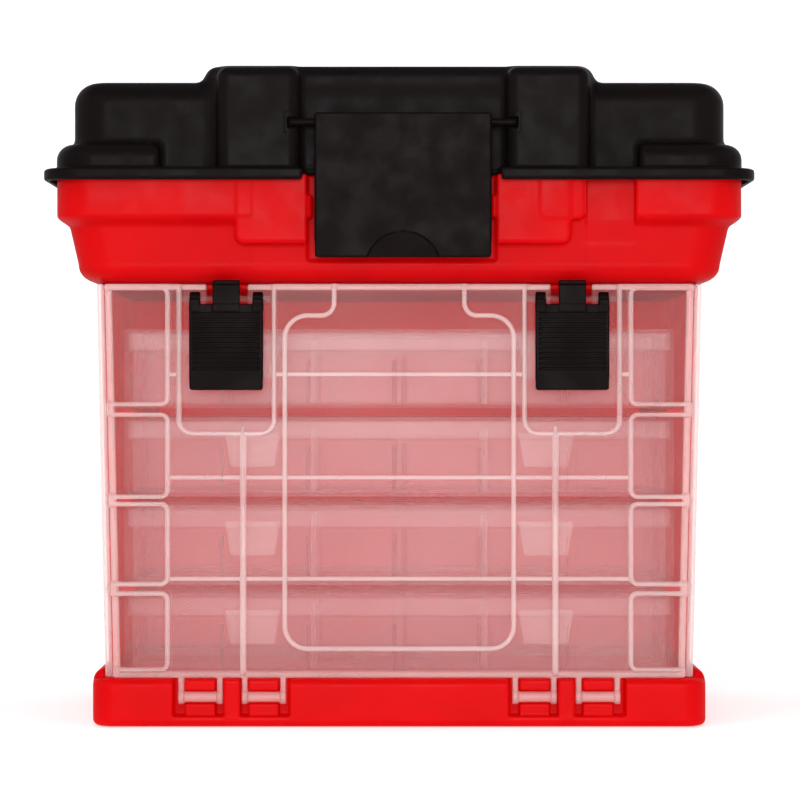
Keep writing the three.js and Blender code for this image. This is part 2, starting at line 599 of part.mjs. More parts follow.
// ---- pins ----
function makePins() {
  const pins = [];
  for (const [side, sign] of [['left', -1], ['right', 1]]) {
    const hinge = barX(-17, 17, LID_AXIS.y, LID_AXIS.z, PIN_RADIUS.lid)
      .translate([sign * LID_HINGE_X, 0, 0]);
    pins.push(mesh(`lid_hinge_pin_${side}`, hinge, steel('lid_hinge_pin')));
    const bail = barX(-5, 6, HANDLE.y, HANDLE.z, PIN_RADIUS.handle)
      .translate([sign * (HANDLE.outer + 2), 0, 0]);
    pins.push(mesh(`handle_pin_${side}`, bail, steel('handle_pin')));
  }
  const reach = PILLAR.inner + 3.5;
  const pivot = barX(-reach, reach, PLATE_AXIS.y, PLATE_AXIS.z, PIN_RADIUS.latch)
    .translate([FRONT_CENTRE, 0, 0]);
  pins.push(mesh('main_latch_pin', pivot, black('main_latch_pin')));
  return pins;
}

// ---- one organiser box: tray, lid, two clasps and loose dividers, with its underside at z = 0 ----
const BOX_DEPTH = BOX.back - BOX.front;
const BOX_MIDDLE = (BOX.front + BOX.back) / 2;
const TRAY_RIM = BOX.height - BOX_LID.thick - GAP;
const SKIRT_BOTTOM = BOX.height - BOX_LID.skirt;

function makeTray(name) {
  const { half, front, back, wall } = BOX;
  const step = wall + GAP;
  const outer = planPrism(roundedRect(-half, half, front, back, 4), 0, SKIRT_BOTTOM - GAP)
    .add(planPrism(roundedRect(-half + step, half - step, front + step, back - step, 2.5), 1, TRAY_RIM));
  const inset = step + wall;
  const rows = [
    { a: front + inset, b: BOX_MIDDLE - wall / 2, slots: SLOT_X },
    { a: BOX_MIDDLE + wall / 2, b: back - inset, slots: BACK_SLOT_X },
  ];
  const wells = rows.map(({ a, b }) => planPrism(
    roundedRect(-half + inset, half - inset, a, b, 2), wall, BOX.height,
  ));
  const ribs = [];
  for (const { a, b, slots } of rows) {
    for (const x of slots) {
      for (const side of [-1, 1]) {
        const x0 = x + side * (SLOT.spacing + SLOT.rib) / 2 - SLOT.rib / 2;
        const x1 = x0 + SLOT.rib;
        ribs.push(block(x0, x1, a - 0.5, a + SLOT.depth, wall - 0.5, SLOT.top));
        ribs.push(block(x0, x1, b - SLOT.depth, b + 0.5, wall - 0.5, SLOT.top));
      }
    }
  }
  return mesh(name, outer.subtract(union(wells)).add(union(ribs)), clear('tray', 0.4));
}

function makeBoxLid(name) {
  const { half, front, back, height, wall } = BOX;
  const cap = planPrism(roundedRect(-half, half, front, back, 4), SKIRT_BOTTOM, height);
  const hollow = planPrism(
    roundedRect(-half + wall, half - wall, front + wall, back - wall, 2.8),
    SKIRT_BOTTOM - 1, height - BOX_LID.thick,
  );
  return mesh(name, cap.subtract(hollow), clear('box_lid', 0.35));
}

function makeClasp(name, x) {
  const { halfTop, halfBottom, thick, top, bottom } = CLASP;
  const outline = polygon([[-halfBottom, bottom], [halfBottom, bottom], [halfTop, top], [-halfTop, top]]);
  const back = BOX.front - GAP;
  const plate = frontPrism(outline, back - thick, back);
  const pull = block(
    -halfBottom + 1, halfBottom - 1, back - thick - 0.9, back - thick + 0.5, bottom, bottom + 1.6,
  );
  return mesh(name, plate.add(pull).translate([x, 0, 0]), clear('clasp', 0.5));
}

function makeDivider(name, x, row) {
  const inset = BOX.wall * 2 + GAP;
  const clearance = 0.35;
  const [a, b] = row === 'front'
    ? [BOX.front + inset, BOX_MIDDLE - BOX.wall / 2]
    : [BOX_MIDDLE + BOX.wall / 2, BOX.back - inset];
  const thick = 1.6;
  const plate = block(x - thick / 2, x + thick / 2, a + clearance, b - clearance, BOX.wall + GAP, 27);
  return mesh(name, plate, clear('divider', 0.4));
}

function makeBox(number) {
  const box = new THREE.Group();
  const name = (piece) => `box_${number}_${piece}`;
  box.add(makeTray(name('tray')));
  box.add(makeBoxLid(name('lid')));
  box.add(makeClasp(name('clasp_left'), -CLASP.x));
  box.add(makeClasp(name('clasp_right'), CLASP.x));
  box.add(makeDivider(name('divider_left'), SLOT_X[1], 'front'));
  box.add(makeDivider(name('divider_right'), SLOT_X[3], 'front'));
  box.add(makeDivider(name('divider_back'), SLOT_X[2], 'back'));
  box.position.z = BOX.first + (number - 1) * BOX.pitch;
  return box;
}

// ---- assembly ----
const group = new THREE.Group();
group.name = 'tackle_box';
group.add(makeBase(), makeHousing(), makeBin(), makeLid(), makeMainLatch(), makeHandle(), makeDoor());
group.add(makeSideLatch('side_latch_left', -POCKET.x), makeSideLatch('side_latch_right', POCKET.x));
group.add(...makePins());
for (let number = 1; number <= BOX_COUNT; number += 1) {
  group.add(makeBox(number));
}

export default group;
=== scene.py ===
"""Fishing tackle box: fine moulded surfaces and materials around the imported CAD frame.

Every moulding is described as a signed distance in millimetres (negative inside), turned into a
mesh on a grid, drawn exactly onto the surface and thinned out. The object stands on z = 0 with its
front towards -Y.
"""

import json
import math

import bpy
import numpy as np
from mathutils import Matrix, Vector


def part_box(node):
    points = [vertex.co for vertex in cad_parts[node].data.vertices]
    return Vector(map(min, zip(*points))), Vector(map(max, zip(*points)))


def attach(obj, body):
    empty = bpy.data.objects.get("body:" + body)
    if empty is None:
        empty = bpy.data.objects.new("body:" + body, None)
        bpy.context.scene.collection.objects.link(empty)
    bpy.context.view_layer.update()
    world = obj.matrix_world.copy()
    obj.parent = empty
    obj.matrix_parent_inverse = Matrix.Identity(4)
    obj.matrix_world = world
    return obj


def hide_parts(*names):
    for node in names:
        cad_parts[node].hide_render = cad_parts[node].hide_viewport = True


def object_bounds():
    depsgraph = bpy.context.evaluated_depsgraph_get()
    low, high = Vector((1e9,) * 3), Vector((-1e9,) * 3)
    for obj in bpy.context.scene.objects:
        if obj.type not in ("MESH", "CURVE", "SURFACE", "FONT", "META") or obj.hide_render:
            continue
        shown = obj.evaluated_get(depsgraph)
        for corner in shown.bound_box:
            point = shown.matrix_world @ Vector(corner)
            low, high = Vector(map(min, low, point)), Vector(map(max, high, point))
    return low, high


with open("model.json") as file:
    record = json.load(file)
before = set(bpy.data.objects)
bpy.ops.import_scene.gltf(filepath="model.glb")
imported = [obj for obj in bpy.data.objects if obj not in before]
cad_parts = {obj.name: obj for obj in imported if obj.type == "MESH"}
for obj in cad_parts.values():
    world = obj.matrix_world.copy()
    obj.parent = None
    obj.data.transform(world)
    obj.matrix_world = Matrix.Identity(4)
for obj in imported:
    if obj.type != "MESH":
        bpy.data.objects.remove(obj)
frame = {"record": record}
CAD_LOW, CAD_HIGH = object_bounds()

MM = 0.001
FAR = 400.0
THIN_SHARE = 0.48
COARSER = 1.0


def node_box(node):
    """The lowest and highest corners of a CAD node, in millimetres."""
    low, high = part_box(node)
    return [v / MM for v in low], [v / MM for v in high]


# ---------------------------------------------------------------- signed distances
def length(a, b):
    return np.sqrt(a * a + b * b)


def rect(u, v, u0, u1, v0, v1, radius=0.0):
    """A rounded rectangle in two of the three directions."""
    a = np.abs(u - (u0 + u1) / 2) - (u1 - u0) / 2 + radius
    b = np.abs(v - (v0 + v1) / 2) - (v1 - v0) / 2 + radius
    return length(np.maximum(a, 0), np.maximum(b, 0)) + np.minimum(np.maximum(a, b), 0) - radius


def slab(w, w0, w1):
    return np.abs(w - (w0 + w1) / 2) - (w1 - w0) / 2


def prism(outline, through, edge=0.0):
    """An outline carried through a slab, with its end edges rounded."""
    a, b = outline + edge, through + edge
    return length(np.maximum(a, 0), np.maximum(b, 0)) + np.minimum(np.maximum(a, b), 0) - edge


def block(p, x, y, z, edge=0.4):
    """A rounded block between pairs of limits."""
    q = [
        np.abs(c - (lo + hi) / 2) - (hi - lo) / 2 + edge for c, (lo, hi) in zip(p, (x, y, z))
    ]
    outside = np.sqrt(sum(np.maximum(c, 0) ** 2 for c in q))
    return outside + np.minimum(np.maximum(np.maximum(q[0], q[1]), q[2]), 0) - edge


def rod(u, v, centre_u, centre_v, radius):
    """A round bar, seen along its length."""
    return length(u - centre_u, v - centre_v) - radius


def join(*fields, blend=0.0):
    """Union; blend is the size of the fillet between the fields."""
    whole = fields[0]
    for other in fields[1:]:
        low = np.minimum(whole, other)
        if blend:
            reach = np.maximum(blend - np.abs(whole - other), 0) / blend
            low = low - reach * reach * blend / 4
        whole = low
    return whole


def meet(a, b, blend=0.0):
    return -join(-a, -b, blend=blend)


def cut(a, b, blend=0.0):
    return meet(a, -b, blend)


def ramp(w, w0, w1):
    """Rises smoothly from 0 at w0 to 1 at w1."""
    t = np.clip((w - w0) / (w1 - w0), 0, 1)
    return t * t * (3 - 2 * t)


# ---------------------------------------------------------------- from distance to mesh
def grid_net(values):
    """One point in each grid cell that the surface crosses, and a face across each crossed edge."""
    inside = values < 0
    size = np.array(values.shape)
    step = np.array([size[1] * size[2], size[2], 1])
    cells, points, faces = [], [], []
    for axis in range(3):
        near = [slice(None)] * 3
        far = [slice(None)] * 3
        near[axis], far[axis] = slice(0, -1), slice(1, None)
        near, far = tuple(near), tuple(far)
        crossed = inside[near] != inside[far]
        index = np.argwhere(crossed)
        start, end = values[near][crossed], values[far][crossed]
        place = index.astype(np.float64)
        place[:, axis] += start / (start - end)
        one, two = [(1, 2), (2, 0), (0, 1)][axis]
        corner = index @ step
        ring = [corner, corner - step[one], corner - step[one] - step[two], corner - step[two]]
        for cell in ring:
            cells.append(cell)
            points.append(place)
        quad = np.stack(ring, axis=1)
        faces.append(np.where(inside[near][crossed][:, None], quad, quad[:, ::-1]))
    cells, points, faces = np.concatenate(cells), np.concatenate(points), np.concatenate(faces)
    used, which = np.unique(cells, return_inverse=True)
    count = np.bincount(which)
    middle = np.stack([np.bincount(which, points[:, k]) / count for k in range(3)], axis=1)
    return middle, np.searchsorted(used, faces)


def slope(field, points, reach):
    """The field's gradient at points."""
    parts = []
    for axis in range(3):
        shift = np.zeros(3)
        shift[axis] = reach
        parts.append((field(*(points + shift).T) - field(*(points - shift).T)) / (2 * reach))
    return np.stack(parts, axis=1)


def onto_surface(field, points, most, rounds=3):
    """Points moved onto the surface, by at most a given distance."""
    start = points.copy()
    for _ in range(rounds):
        gradient = slope(field, points, 0.02)
        steep = np.maximum((gradient**2).sum(1), 0.05)
        points = points - gradient * (field(*points.T) / steep)[:, None]
        moved = points - start
        far = np.maximum(np.linalg.norm(moved, axis=1) / most, 1)
        points = start + moved / far[:, None]
    return points


def new_mesh(name, points, faces):
    mesh = bpy.data.meshes.new(name)
    mesh.vertices.add(len(points))
    mesh.vertices.foreach_set("co", points.astype(np.float32).ravel())
    sides = faces.shape[1]
    mesh.loops.add(faces.size)
    mesh.loops.foreach_set("vertex_index", faces.astype(np.int32).ravel())
    mesh.polygons.add(len(faces))
    mesh.polygons.foreach_set("loop_start", np.arange(0, faces.size, sides, dtype=np.int32))
    mesh.update(calc_edges=True)
    return mesh


def moulded(name, field, low, high, cell, keep=0.25):
    """The mesh of a field inside a box of millimetres, thinned to a share of its faces."""
    cell = cell * COARSER
    axes = [np.arange(a - 2 * cell, b + 3 * cell, cell) for a, b in zip(low, high)]
    x, y, z = axes[0][:, None, None], axes[1][None, :, None], axes[2][None, None, :]
    shape = tuple(len(a) for a in axes)
    values = np.broadcast_to(field(x, y, z), shape)
    points, faces = grid_net(np.where(values == 0, 1e-6, values))
    points = points * cell + np.array([a[0] for a in axes])
    points = onto_surface(field, points, cell)
    mesh = new_mesh(name, points * MM, faces)
    if keep < 1:
        thin = bpy.data.objects.new(name, mesh)
        bpy.context.collection.objects.link(thin)
        modifier = thin.modifiers.new("thin", "DECIMATE")
        modifier.ratio = keep
        graph = bpy.context.evaluated_depsgraph_get()
        mesh = bpy.data.meshes.new_from_object(thin.evaluated_get(graph))
        bpy.data.objects.remove(thin)
        points = np.zeros(len(mesh.vertices) * 3)
        mesh.vertices.foreach_get("co", points)
        points = onto_surface(field, points.reshape(-1, 3) / MM, cell / 2)
        mesh.vertices.foreach_set("co", (points * MM).ravel())
    mesh.polygons.foreach_set("use_smooth", np.ones(len(mesh.polygons), dtype=bool))
    gradient = slope(field, points, 0.12)
    size = np.maximum(np.linalg.norm(gradient, axis=1), 1e-6)
    mesh.normals_split_custom_set_from_vertices(gradient / size[:, None])
    mesh.update()
    return mesh


def piece(name, mesh, body, material, replaces=()):
    made = bpy.data.objects.new(name, mesh)
    bpy.context.collection.objects.link(made)
    made.data.materials.clear()
    made.data.materials.append(material)
    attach(made, body)
    if replaces:
        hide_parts(*replaces)
    return made


# ---------------------------------------------------------------- materials
class Nodes:
    """A small helper for writing node trees."""

    def __init__(self, name):
        self.material = bpy.data.materials.new(name)
        self.material.use_nodes = True
        self.tree = self.material.node_tree
        self.tree.nodes.clear()
        self.coordinates = self.add("ShaderNodeTexCoord").outputs["Object"]

    def add(self, kind, **inputs):
        node = self.tree.nodes.new(kind)
        for key, value in inputs.items():
            self.set(node, key.replace("_", " "), value)
        return node

    def set(self, node, key, value):
        socket = node.inputs[key]
        if isinstance(value, bpy.types.NodeSocket):
            self.tree.links.new(value, socket)
        else:
            socket.default_value = value

    def noise(self, scale, detail=3.0, stretch=(1, 1, 1), roughness=0.5):
        mapping = self.add("ShaderNodeMapping", Vector=self.coordinates, Scale=stretch)
        made = self.add(
            "ShaderNodeTexNoise", Vector=mapping.outputs["Vector"], Scale=scale, Detail=detail,
            Roughness=roughness,
        )
        return made.outputs["Fac"]

    def spread(self, value, from_low, from_high, to_low, to_high):
        made = self.add("ShaderNodeMapRange", Value=value)
        made.interpolation_type = "SMOOTHSTEP"
        names = ("From Min", "From Max", "To Min", "To Max")
        for key, number in zip(names, (from_low, from_high, to_low, to_high)):
            made.inputs[key].default_value = number
        return made.outputs["Result"]

    def mix(self, share, a, b):
        made = self.add("ShaderNodeMix")
        made.data_type = "RGBA"
        self.set(made, "Factor", share)
        for key, value in (("A", a), ("B", b)):
            socket = [s for s in made.inputs if s.name == key and s.type == "RGBA"][0]
            if isinstance(value, bpy.types.NodeSocket):
                self.tree.links.new(value, socket)
            else:
                socket.default_value = (*value, 1)
        return [s for s in made.outputs if s.type == "RGBA"][0]

    def bump(self, height, distance, strength=1.0, normal=None):
        made = self.add("ShaderNodeBump", Height=height, Strength=strength, Distance=distance)
        if normal is not None:
            self.set(made, "Normal", normal)
        return made.outputs["Normal"]

    def finish(self, shader):
        output = self.add("ShaderNodeOutputMaterial")
        self.tree.links.new(shader, output.inputs["Surface"])
        return self.material


def moulded_plastic(name, dark, light, rough, sheen, grain_scale, grain_depth, scuff, glow=None):
    """Moulded plastic: flow mottling, fine grain, and rubbed marks; glow lets some light through."""
    n = Nodes(name)
    mottle = n.spread(n.noise(45, 4), 0.3, 0.7, 0, 1)
    colour = n.mix(mottle, dark, light)
    marks = n.spread(n.noise(60, 6, (1, 1, 9), 0.65), 0.66, 0.74, 0, scuff)
    worn = n.mix(marks, colour, tuple(min(1, c * 1.8 + 0.03) for c in light))
    roughness = n.spread(n.noise(90, 5), 0.3, 0.7, rough - 0.07, rough + 0.09)
    grain = n.noise(grain_scale, 2)
    coarse = n.noise(35, 2)
    normal = n.bump(coarse, 0.00008, 0.2)
    normal = n.bump(grain, grain_depth, 0.5, normal)
    shader = n.add(
        "ShaderNodeBsdfPrincipled", Base_Color=worn, Roughness=roughness, Normal=normal,
    )
    shader.inputs["IOR"].default_value = 1.49
    shader.inputs["Specular IOR Level"].default_value = sheen
    if glow is None:
        return n.finish(shader.outputs["BSDF"])
    inside = n.add("ShaderNodeBsdfTranslucent", Normal=normal)
    inside.inputs["Color"].default_value = (*glow, 1)
    mixed = n.add("ShaderNodeMixShader")
    mixed.inputs["Fac"].default_value = THIN_SHARE
    n.tree.links.new(shader.outputs["BSDF"], mixed.inputs[1])
    n.tree.links.new(inside.outputs["BSDF"], mixed.inputs[2])
    return n.finish(mixed.outputs["Shader"])


def frosted_clear(name, milk_and_red_bounce, facing, grazing, rough, grain_depth):
    """Unpigmented polypropylene: see-through with a milky haze that thickens at grazing angles; the
    haze's pink tint is painted red bounce light from the red case, not a dye.
    """
    n = Nodes(name)
    cloud = n.noise(14, 4)
    fine = n.noise(700, 2)
    normal = n.bump(fine, grain_depth, 0.35)
    weight = n.add("ShaderNodeLayerWeight", Blend=0.35)
    edge = n.spread(weight.outputs["Facing"], 0.45, 1.0, 0, 1)
    base = n.spread(cloud, 0.3, 0.7, facing * 0.85, facing * 1.15)
    haze = n.add("ShaderNodeMix")
    haze.data_type = "FLOAT"
    n.set(haze, "Factor", edge)
    sockets = [s for s in haze.inputs if s.type == "VALUE" and s.name in ("A", "B")]
    n.tree.links.new(base, sockets[0])
    sockets[1].default_value = grazing
    share = [s for s in haze.outputs if s.type == "VALUE"][0]
    roughness = n.spread(n.noise(60, 4), 0.3, 0.7, rough - 0.05, rough + 0.07)
    # The haze colour is the plastic's own milky white plus painted pink, which stands for red bounce
    # light from the case.
    milk_and_red_bounce_tone = n.mix(n.spread(cloud, 0.3, 0.7, 0, 1), milk_and_red_bounce, tuple(c * 0.96 for c in milk_and_red_bounce))
    milk = n.add(
        "ShaderNodeBsdfPrincipled", Base_Color=milk_and_red_bounce_tone, Roughness=roughness, Normal=normal,
    )
    milk.inputs["IOR"].default_value = 1.49
    glow = n.add("ShaderNodeBsdfTranslucent", Color=milk_and_red_bounce_tone, Normal=normal)
    body = n.add("ShaderNodeMixShader")
    body.inputs["Fac"].default_value = 0.5
    n.tree.links.new(milk.outputs["BSDF"], body.inputs[1])
    n.tree.links.new(glow.outputs["BSDF"], body.inputs[2])
    through = n.add("ShaderNodeBsdfTransparent")
    through.inputs["Color"].default_value = (1, 0.995, 0.995, 1)
    mixed = n.add("ShaderNodeMixShader")
    n.set(mixed, "Fac", share)
    n.tree.links.new(through.outputs["BSDF"], mixed.inputs[1])
    n.tree.links.new(body.outputs["Shader"], mixed.inputs[2])
    return n.finish(mixed.outputs["Shader"])


def steel_wire(name):
    n = Nodes(name)
    colour = n.mix(n.noise(300, 3), (0.36, 0.37, 0.39), (0.52, 0.53, 0.55))
    roughness = n.spread(n.noise(500, 3, (0.05, 1, 1)), 0.3, 0.7, 0.2, 0.42)
    normal = n.bump(n.noise(1500, 2, (0.05, 1, 1)), 0.00002, 0.4)
    shader = n.add(
        "ShaderNodeBsdfPrincipled", Base_Color=colour, Roughness=roughness, Normal=normal,
    )
    shader.inputs["Metallic"].default_value = 1.0
    return n.finish(shader.outputs["BSDF"])


RED = moulded_plastic(
    "red_plastic", (0.57, 0.0024, 0.0042), (0.63, 0.0032, 0.0054), 0.38, 0.06, 700, 0.00003, 0.04,
    glow=(0.95, 0.010, 0.020),
)
BLACK = moulded_plastic(
    "black_plastic", (0.0040, 0.0025, 0.0026), (0.0047, 0.0030, 0.0031), 0.42, 0.026, 1300,
    0.00012, 0.09,
)
BLACK_SMOOTH = moulded_plastic(
    "black_plastic_smooth", (0.0034, 0.0016, 0.0017), (0.0039, 0.0019, 0.0020), 0.42, 0.024, 900,
    0.00004, 0.08,
)
# The pink in these clear tints is painted red bounce light from the surrounding red case; the plastic
# itself is unpigmented milky white.
DOOR_CLEAR = frosted_clear("clear_door_plastic", (0.95, 0.80, 0.79), 0.060, 0.50, 0.3, 0.000006)
DOOR_THICK = frosted_clear("clear_door_thick", (0.96, 0.86, 0.84), 0.30, 0.6, 0.3, 0.000006)
BOX_CLEAR = frosted_clear("clear_box_plastic", (0.96, 0.72, 0.74), 0.090, 0.4, 0.22, 0.000004)
CLASP_CLEAR = frosted_clear("clear_clasp_plastic", (0.96, 0.82, 0.81), 0.12, 0.45, 0.22, 0.000004)
STEEL = steel_wire("steel_pin")

# ---------------------------------------------------------------- driving dimensions, mm
BASE_LOW, BASE_HIGH = node_box("base")
RACK_LOW, RACK_HIGH = node_box("rack_housing")
BIN_LOW, BIN_HIGH = node_box("upper_bin")
LID_LOW, LID_HIGH = node_box("lid")
PLATE_LOW, PLATE_HIGH = node_box("main_latch")
GRIP_LOW, GRIP_HIGH = node_box("carry_handle")
DOOR_LOW, DOOR_HIGH = node_box("door")
TRAY_LOW = node_box("box_1_tray")[0]
CAP_LOW, CAP_HIGH = node_box("box_1_lid")
PITCH = node_box("box_2_tray")[0][2] - TRAY_LOW[2]
BOX_NUMBERS = range(1, 5)


def joint_axis(name):
    """A joint's place in y and z, in millimetres."""
    for joint in frame["record"]["behaviour"]["joints"]:
        if joint["name"] == name:
            return joint["pos_m"][1] / MM, joint["pos_m"][2] / MM
    raise ValueError(name)


LID_Y, LID_Z = joint_axis("lid_hinge")
PLATE_Y, PLATE_Z = joint_axis("main_latch_hinge")
BAIL_Y, BAIL_Z = joint_axis("handle_hinge")
DOOR_Y, DOOR_Z = joint_axis("door_hinge")
BAR_Y, BAR_Z = joint_axis("side_latch_left_hinge")

WALL = 2.4
LID_HINGE_X = 70.0
LUG_X = (45.7, 60.8, 70.6, 85.8)
LATCH_X = 68.0
LATCH_BAY = 37.2
BAY_CENTRE = 1.0
FRONT_CENTRE = (PLATE_LOW[0] + PLATE_HIGH[0]) / 2
BAND_HALF = 135.3
DECK = 18.5
CLAW_BACK, CLAW_FOOT, CLAW_MOUTH = -72.5, 3.5, 2.7
NECK_HALF, NECK_DEEP = 118.0, 69.5
TIER_TOP, SHOULDER_TOP, PILLAR_TOP = 229.0, 254.0, 259.0
PILLAR_INNER, PILLAR_OUTER = 40.5, 73.0
RIM_LOW, RIM_HIGH = 217.2, 219.1
BOSS_BOTTOM = 189.6


# ---------------------------------------------------------------- base
def base(x, y, z):
    half, front, back = BASE_HIGH[0], BASE_LOW[1], BASE_HIGH[1]
    deck, cheek_inner, cheek_front = DECK, 116.8, -71.0
    w = np.abs(x)
    plan = rect(x, y, -half, half, front, back, 9)
    body = prism(plan, slab(z, 0, deck), 2.6)
    cheeks = prism(meet(plan, cheek_front - y, 2.0), slab(z, 3, BASE_HIGH[2]), 4.2)
    cheeks = cut(cheeks, meet(rect(x, y, -cheek_inner, cheek_inner, -FAR, 71.0), deck - z), 0.6)
    body = join(body, cheeks, blend=1.2)
    notch = block((w, y, z), (43, 89), (-FAR, -73), (4, FAR), 1.0)
    body = cut(body, notch, 0.8)
    claw = join(
        block((w, y, z), (0, FAR), (front + 2, CLAW_BACK), (CLAW_FOOT, deck), 0.5),
        block((w, y, z), (0, FAR), (front, CLAW_BACK), (DOOR_Z + CLAW_MOUTH, deck), 0.8),
        blend=0.8,
    )
    mouth = rect(y, z, -FAR, DOOR_Y, DOOR_Z - CLAW_MOUTH, DOOR_Z + CLAW_MOUTH)
    bore = join(rod(y, z, DOOR_Y, DOOR_Z, 2.75), mouth)
    claw = cut(claw, bore, 0.4)
    clearance = 1.75
    for a, b in (LUG_X[:2], LUG_X[2:]):
        one = meet(claw, slab(w, a + clearance, b - clearance), 0.5)
        body = join(body, one, blend=0.6)
    filler = block(
        (w, y, z), (LUG_X[1] + clearance, LUG_X[2] - clearance), (front, CLAW_BACK),
        (CLAW_FOOT, deck), 0.9,
    )
    body = join(body, filler, blend=0.6)
    hollow_front, hollow_back = -70.6, back - 2.5
    middle = (hollow_front + hollow_back) / 2
    cell = prism(rect(w, y, 3, half - 2.5, hollow_front, hollow_back, 4), slab(z, -20, deck - WALL), 1.5)
    body = cut(body, cell, 0.5)
    cross_rib = block((w, y, z), (0, half - 1), (middle - 1.5, middle + 1.5), (12.1, deck), 0.5)
    return join(body, cross_rib, blend=1.0)


# ---------------------------------------------------------------- rack housing
def rack_half(z):
    low, high = 116.0, RACK_HIGH[0]
    return low + (high - low) * (z - RACK_LOW[2]) / (RACK_HIGH[2] - RACK_LOW[2])


def rack(x, y, z):
    front, back, bottom, top = RACK_LOW[1], RACK_HIGH[1], RACK_LOW[2], RACK_HIGH[2]
    w = np.abs(x) - rack_half(z)
    u = np.abs(x)
    seat = front + 7
    step = 2.5
    tall = slab(z, bottom, top)
    wide = prism(rect(w, y, -FAR, 0, seat, back, 5), tall, 0.7)
    narrow = prism(rect(w, y, -FAR, -step, front, back, 0.9), tall, 0.7)
    outer = join(wide, narrow, blend=0.6)
    panel = prism(rect(y, z, seat + 13, back - 12, bottom + 12, top - 14, 8), slab(w, -0.8, 5), 0.5)
    outer = cut(outer, panel, 0.7)
    back_panel = prism(rect(x, z, -98, 98, bottom + 14, top - 16, 9), slab(y, back - 0.8, back + 9), 0.5)
    outer = cut(outer, back_panel, 0.7)
    for rib_x in (-49, 0, 49):
        rib = block(
            (x, y, z), (rib_x - 1.4, rib_x + 1.4), (back - 3, back), (bottom + 10, top - 10), 0.7
        )
        outer = join(outer, rib, blend=0.9)
    behind = seat + WALL
    cavity = join(
        prism(rect(w, y, -FAR, -step - WALL, front - 9, back - WALL, 1.0), slab(z, bottom - 9, top + 9)),
        prism(rect(w, y, -FAR, -WALL, behind, back - WALL, 3.5), slab(z, bottom - 9, top + 9)),
        blend=0.5,
    )
    deck = block((x, y, z), (-FAR, FAR), (front + 3, FAR), (top - WALL, FAR), 0.8)
    body = cut(outer, cut(cavity, deck, 0.8), 0.4)
    floor = TRAY_LOW[2] - 0.4
    for number in (1, 2, 3):
        height = floor + number * PITCH
        ledge = prism(
            rect(y, z, seat + WALL, back - 1, height - 2.2, height, 0.7),
            meet(106 - u, w + 1.2, 0.5), 0.5,
        )
        body = join(body, ledge, blend=1.0)
    return body


# ---------------------------------------------------------------- upper bin
BIN_LEVELS = (BIN_LOW[2], 182.0, 196.0, 201.0)


def bin_form(x, y, z, inset, lift, band):
    """The bin's outside, or with an inset and a lift its hollow; band adds the wider top."""
    bottom, curve, start, full = (level + lift for level in BIN_LEVELS)
    t = np.clip((z - bottom) / (curve - bottom), 0, 1)
    bulge = np.sqrt(np.maximum(1 - (1 - t) ** 2.2, 0))
    lean = np.maximum(z - curve, 0) / (start - curve)
    step = ramp(z, start, full) * band
    half = NECK_HALF + 9.3 * bulge + 3.1 * np.minimum(lean, 1.2) + step * (BAND_HALF - 131.0)
    front = -NECK_DEEP - 8.1 * bulge - 1.6 * np.minimum(lean, 1.2) - step * 5.0
    back = NECK_DEEP + 3.1 * bulge + 1.6 * np.minimum(lean, 1.2) + step * 4.8
    return rect(x, y, -half + inset, half - inset, front + inset, back - inset, 14 - inset)


def upper_bin(x, y, z):
    bottom, top = BIN_LOW[2], BIN_HIGH[2]
    band_front, plain_front = -84.5, -79.4
    u = np.abs(x)
    narrow = bin_form(x, y, z, 0, 0, 0.0)
    wide = bin_form(x, y, z, 0, 0, 1.0)
    plain = rect(x, z, 73.2, 92.6, 190, FAR, 1.5)
    centre = rect(x, z, -58, 73.2, 180, FAR, 1.5)
    front_zone = y + 60
    banded = cut(wide, meet(join(plain, centre), front_zone), 1.4)
    outer = join(narrow, banded, blend=0.8)
    deep = slab(y, band_front, -60)
    left = prism(rect(x, z, -64.4, -30, BOSS_BOTTOM, FAR, 3.6), deep, 1.6)
    right = prism(rect(x, z, 30, 67.2, BOSS_BOTTOM, FAR, 3.6), deep, 1.6)
    shelf = prism(rect(x, z, 55, 73.0, 199.2, FAR, 3.0), deep, 1.6)
    outer = join(outer, join(left, right, shelf, blend=2.0), blend=1.2)
    outer = meet(outer, slab(z, bottom, top), 1.0)
    v = x - BAY_CENTRE
    bay = block((v, y, z), (-LATCH_BAY, LATCH_BAY), (-FAR, -76), (183, FAR), 1.2)
    outer = cut(outer, bay, 1.2)
    hollow = bin_form(x, y, z, WALL, WALL, 1.0)
    backing = join(
        rect(x, y, 70.8, 95, -FAR, plain_front + WALL),
        rect(v, y, -LATCH_BAY - WALL, LATCH_BAY + WALL, -FAR, -76 + WALL),
        blend=1.0,
    )
    above = 180.0 - z
    hollow = cut(hollow, meet(backing, above), 1.5)
    body = cut(outer, meet(hollow, bottom + WALL - z, 2.0), 0.8)
    keeper = block((x - FRONT_CENTRE, y, z), (-18, 18), (-84, -75), (201, 205.5), 0.9)
    stop = block((np.abs(v), y, z), (LATCH_BAY - 1.8, LATCH_BAY + 1), (-83.8, -75), (200, 208.5), 0.8)
    body = join(body, keeper, stop, blend=1.0)
    lug = join(
        rod(y, z, LID_Y, LID_Z, 4.0),
        meet(rect(y, z, 76, LID_Y, 190, BIN_HIGH[2], 0.5), (LID_Y - y) * 0.7 + 195 - z + 8.5, 0.6),
        blend=1.0,
    )
    side = np.abs(u - LID_HINGE_X)
    lug = prism(meet(lug, 77 - y), slab(side, 10.3, 18.3), 0.5)
    body = join(body, lug, blend=0.8)
    pin = meet(rod(y, z, LID_Y, LID_Z, 2.5), side - 20)
    return cut(body, pin, 0.3)


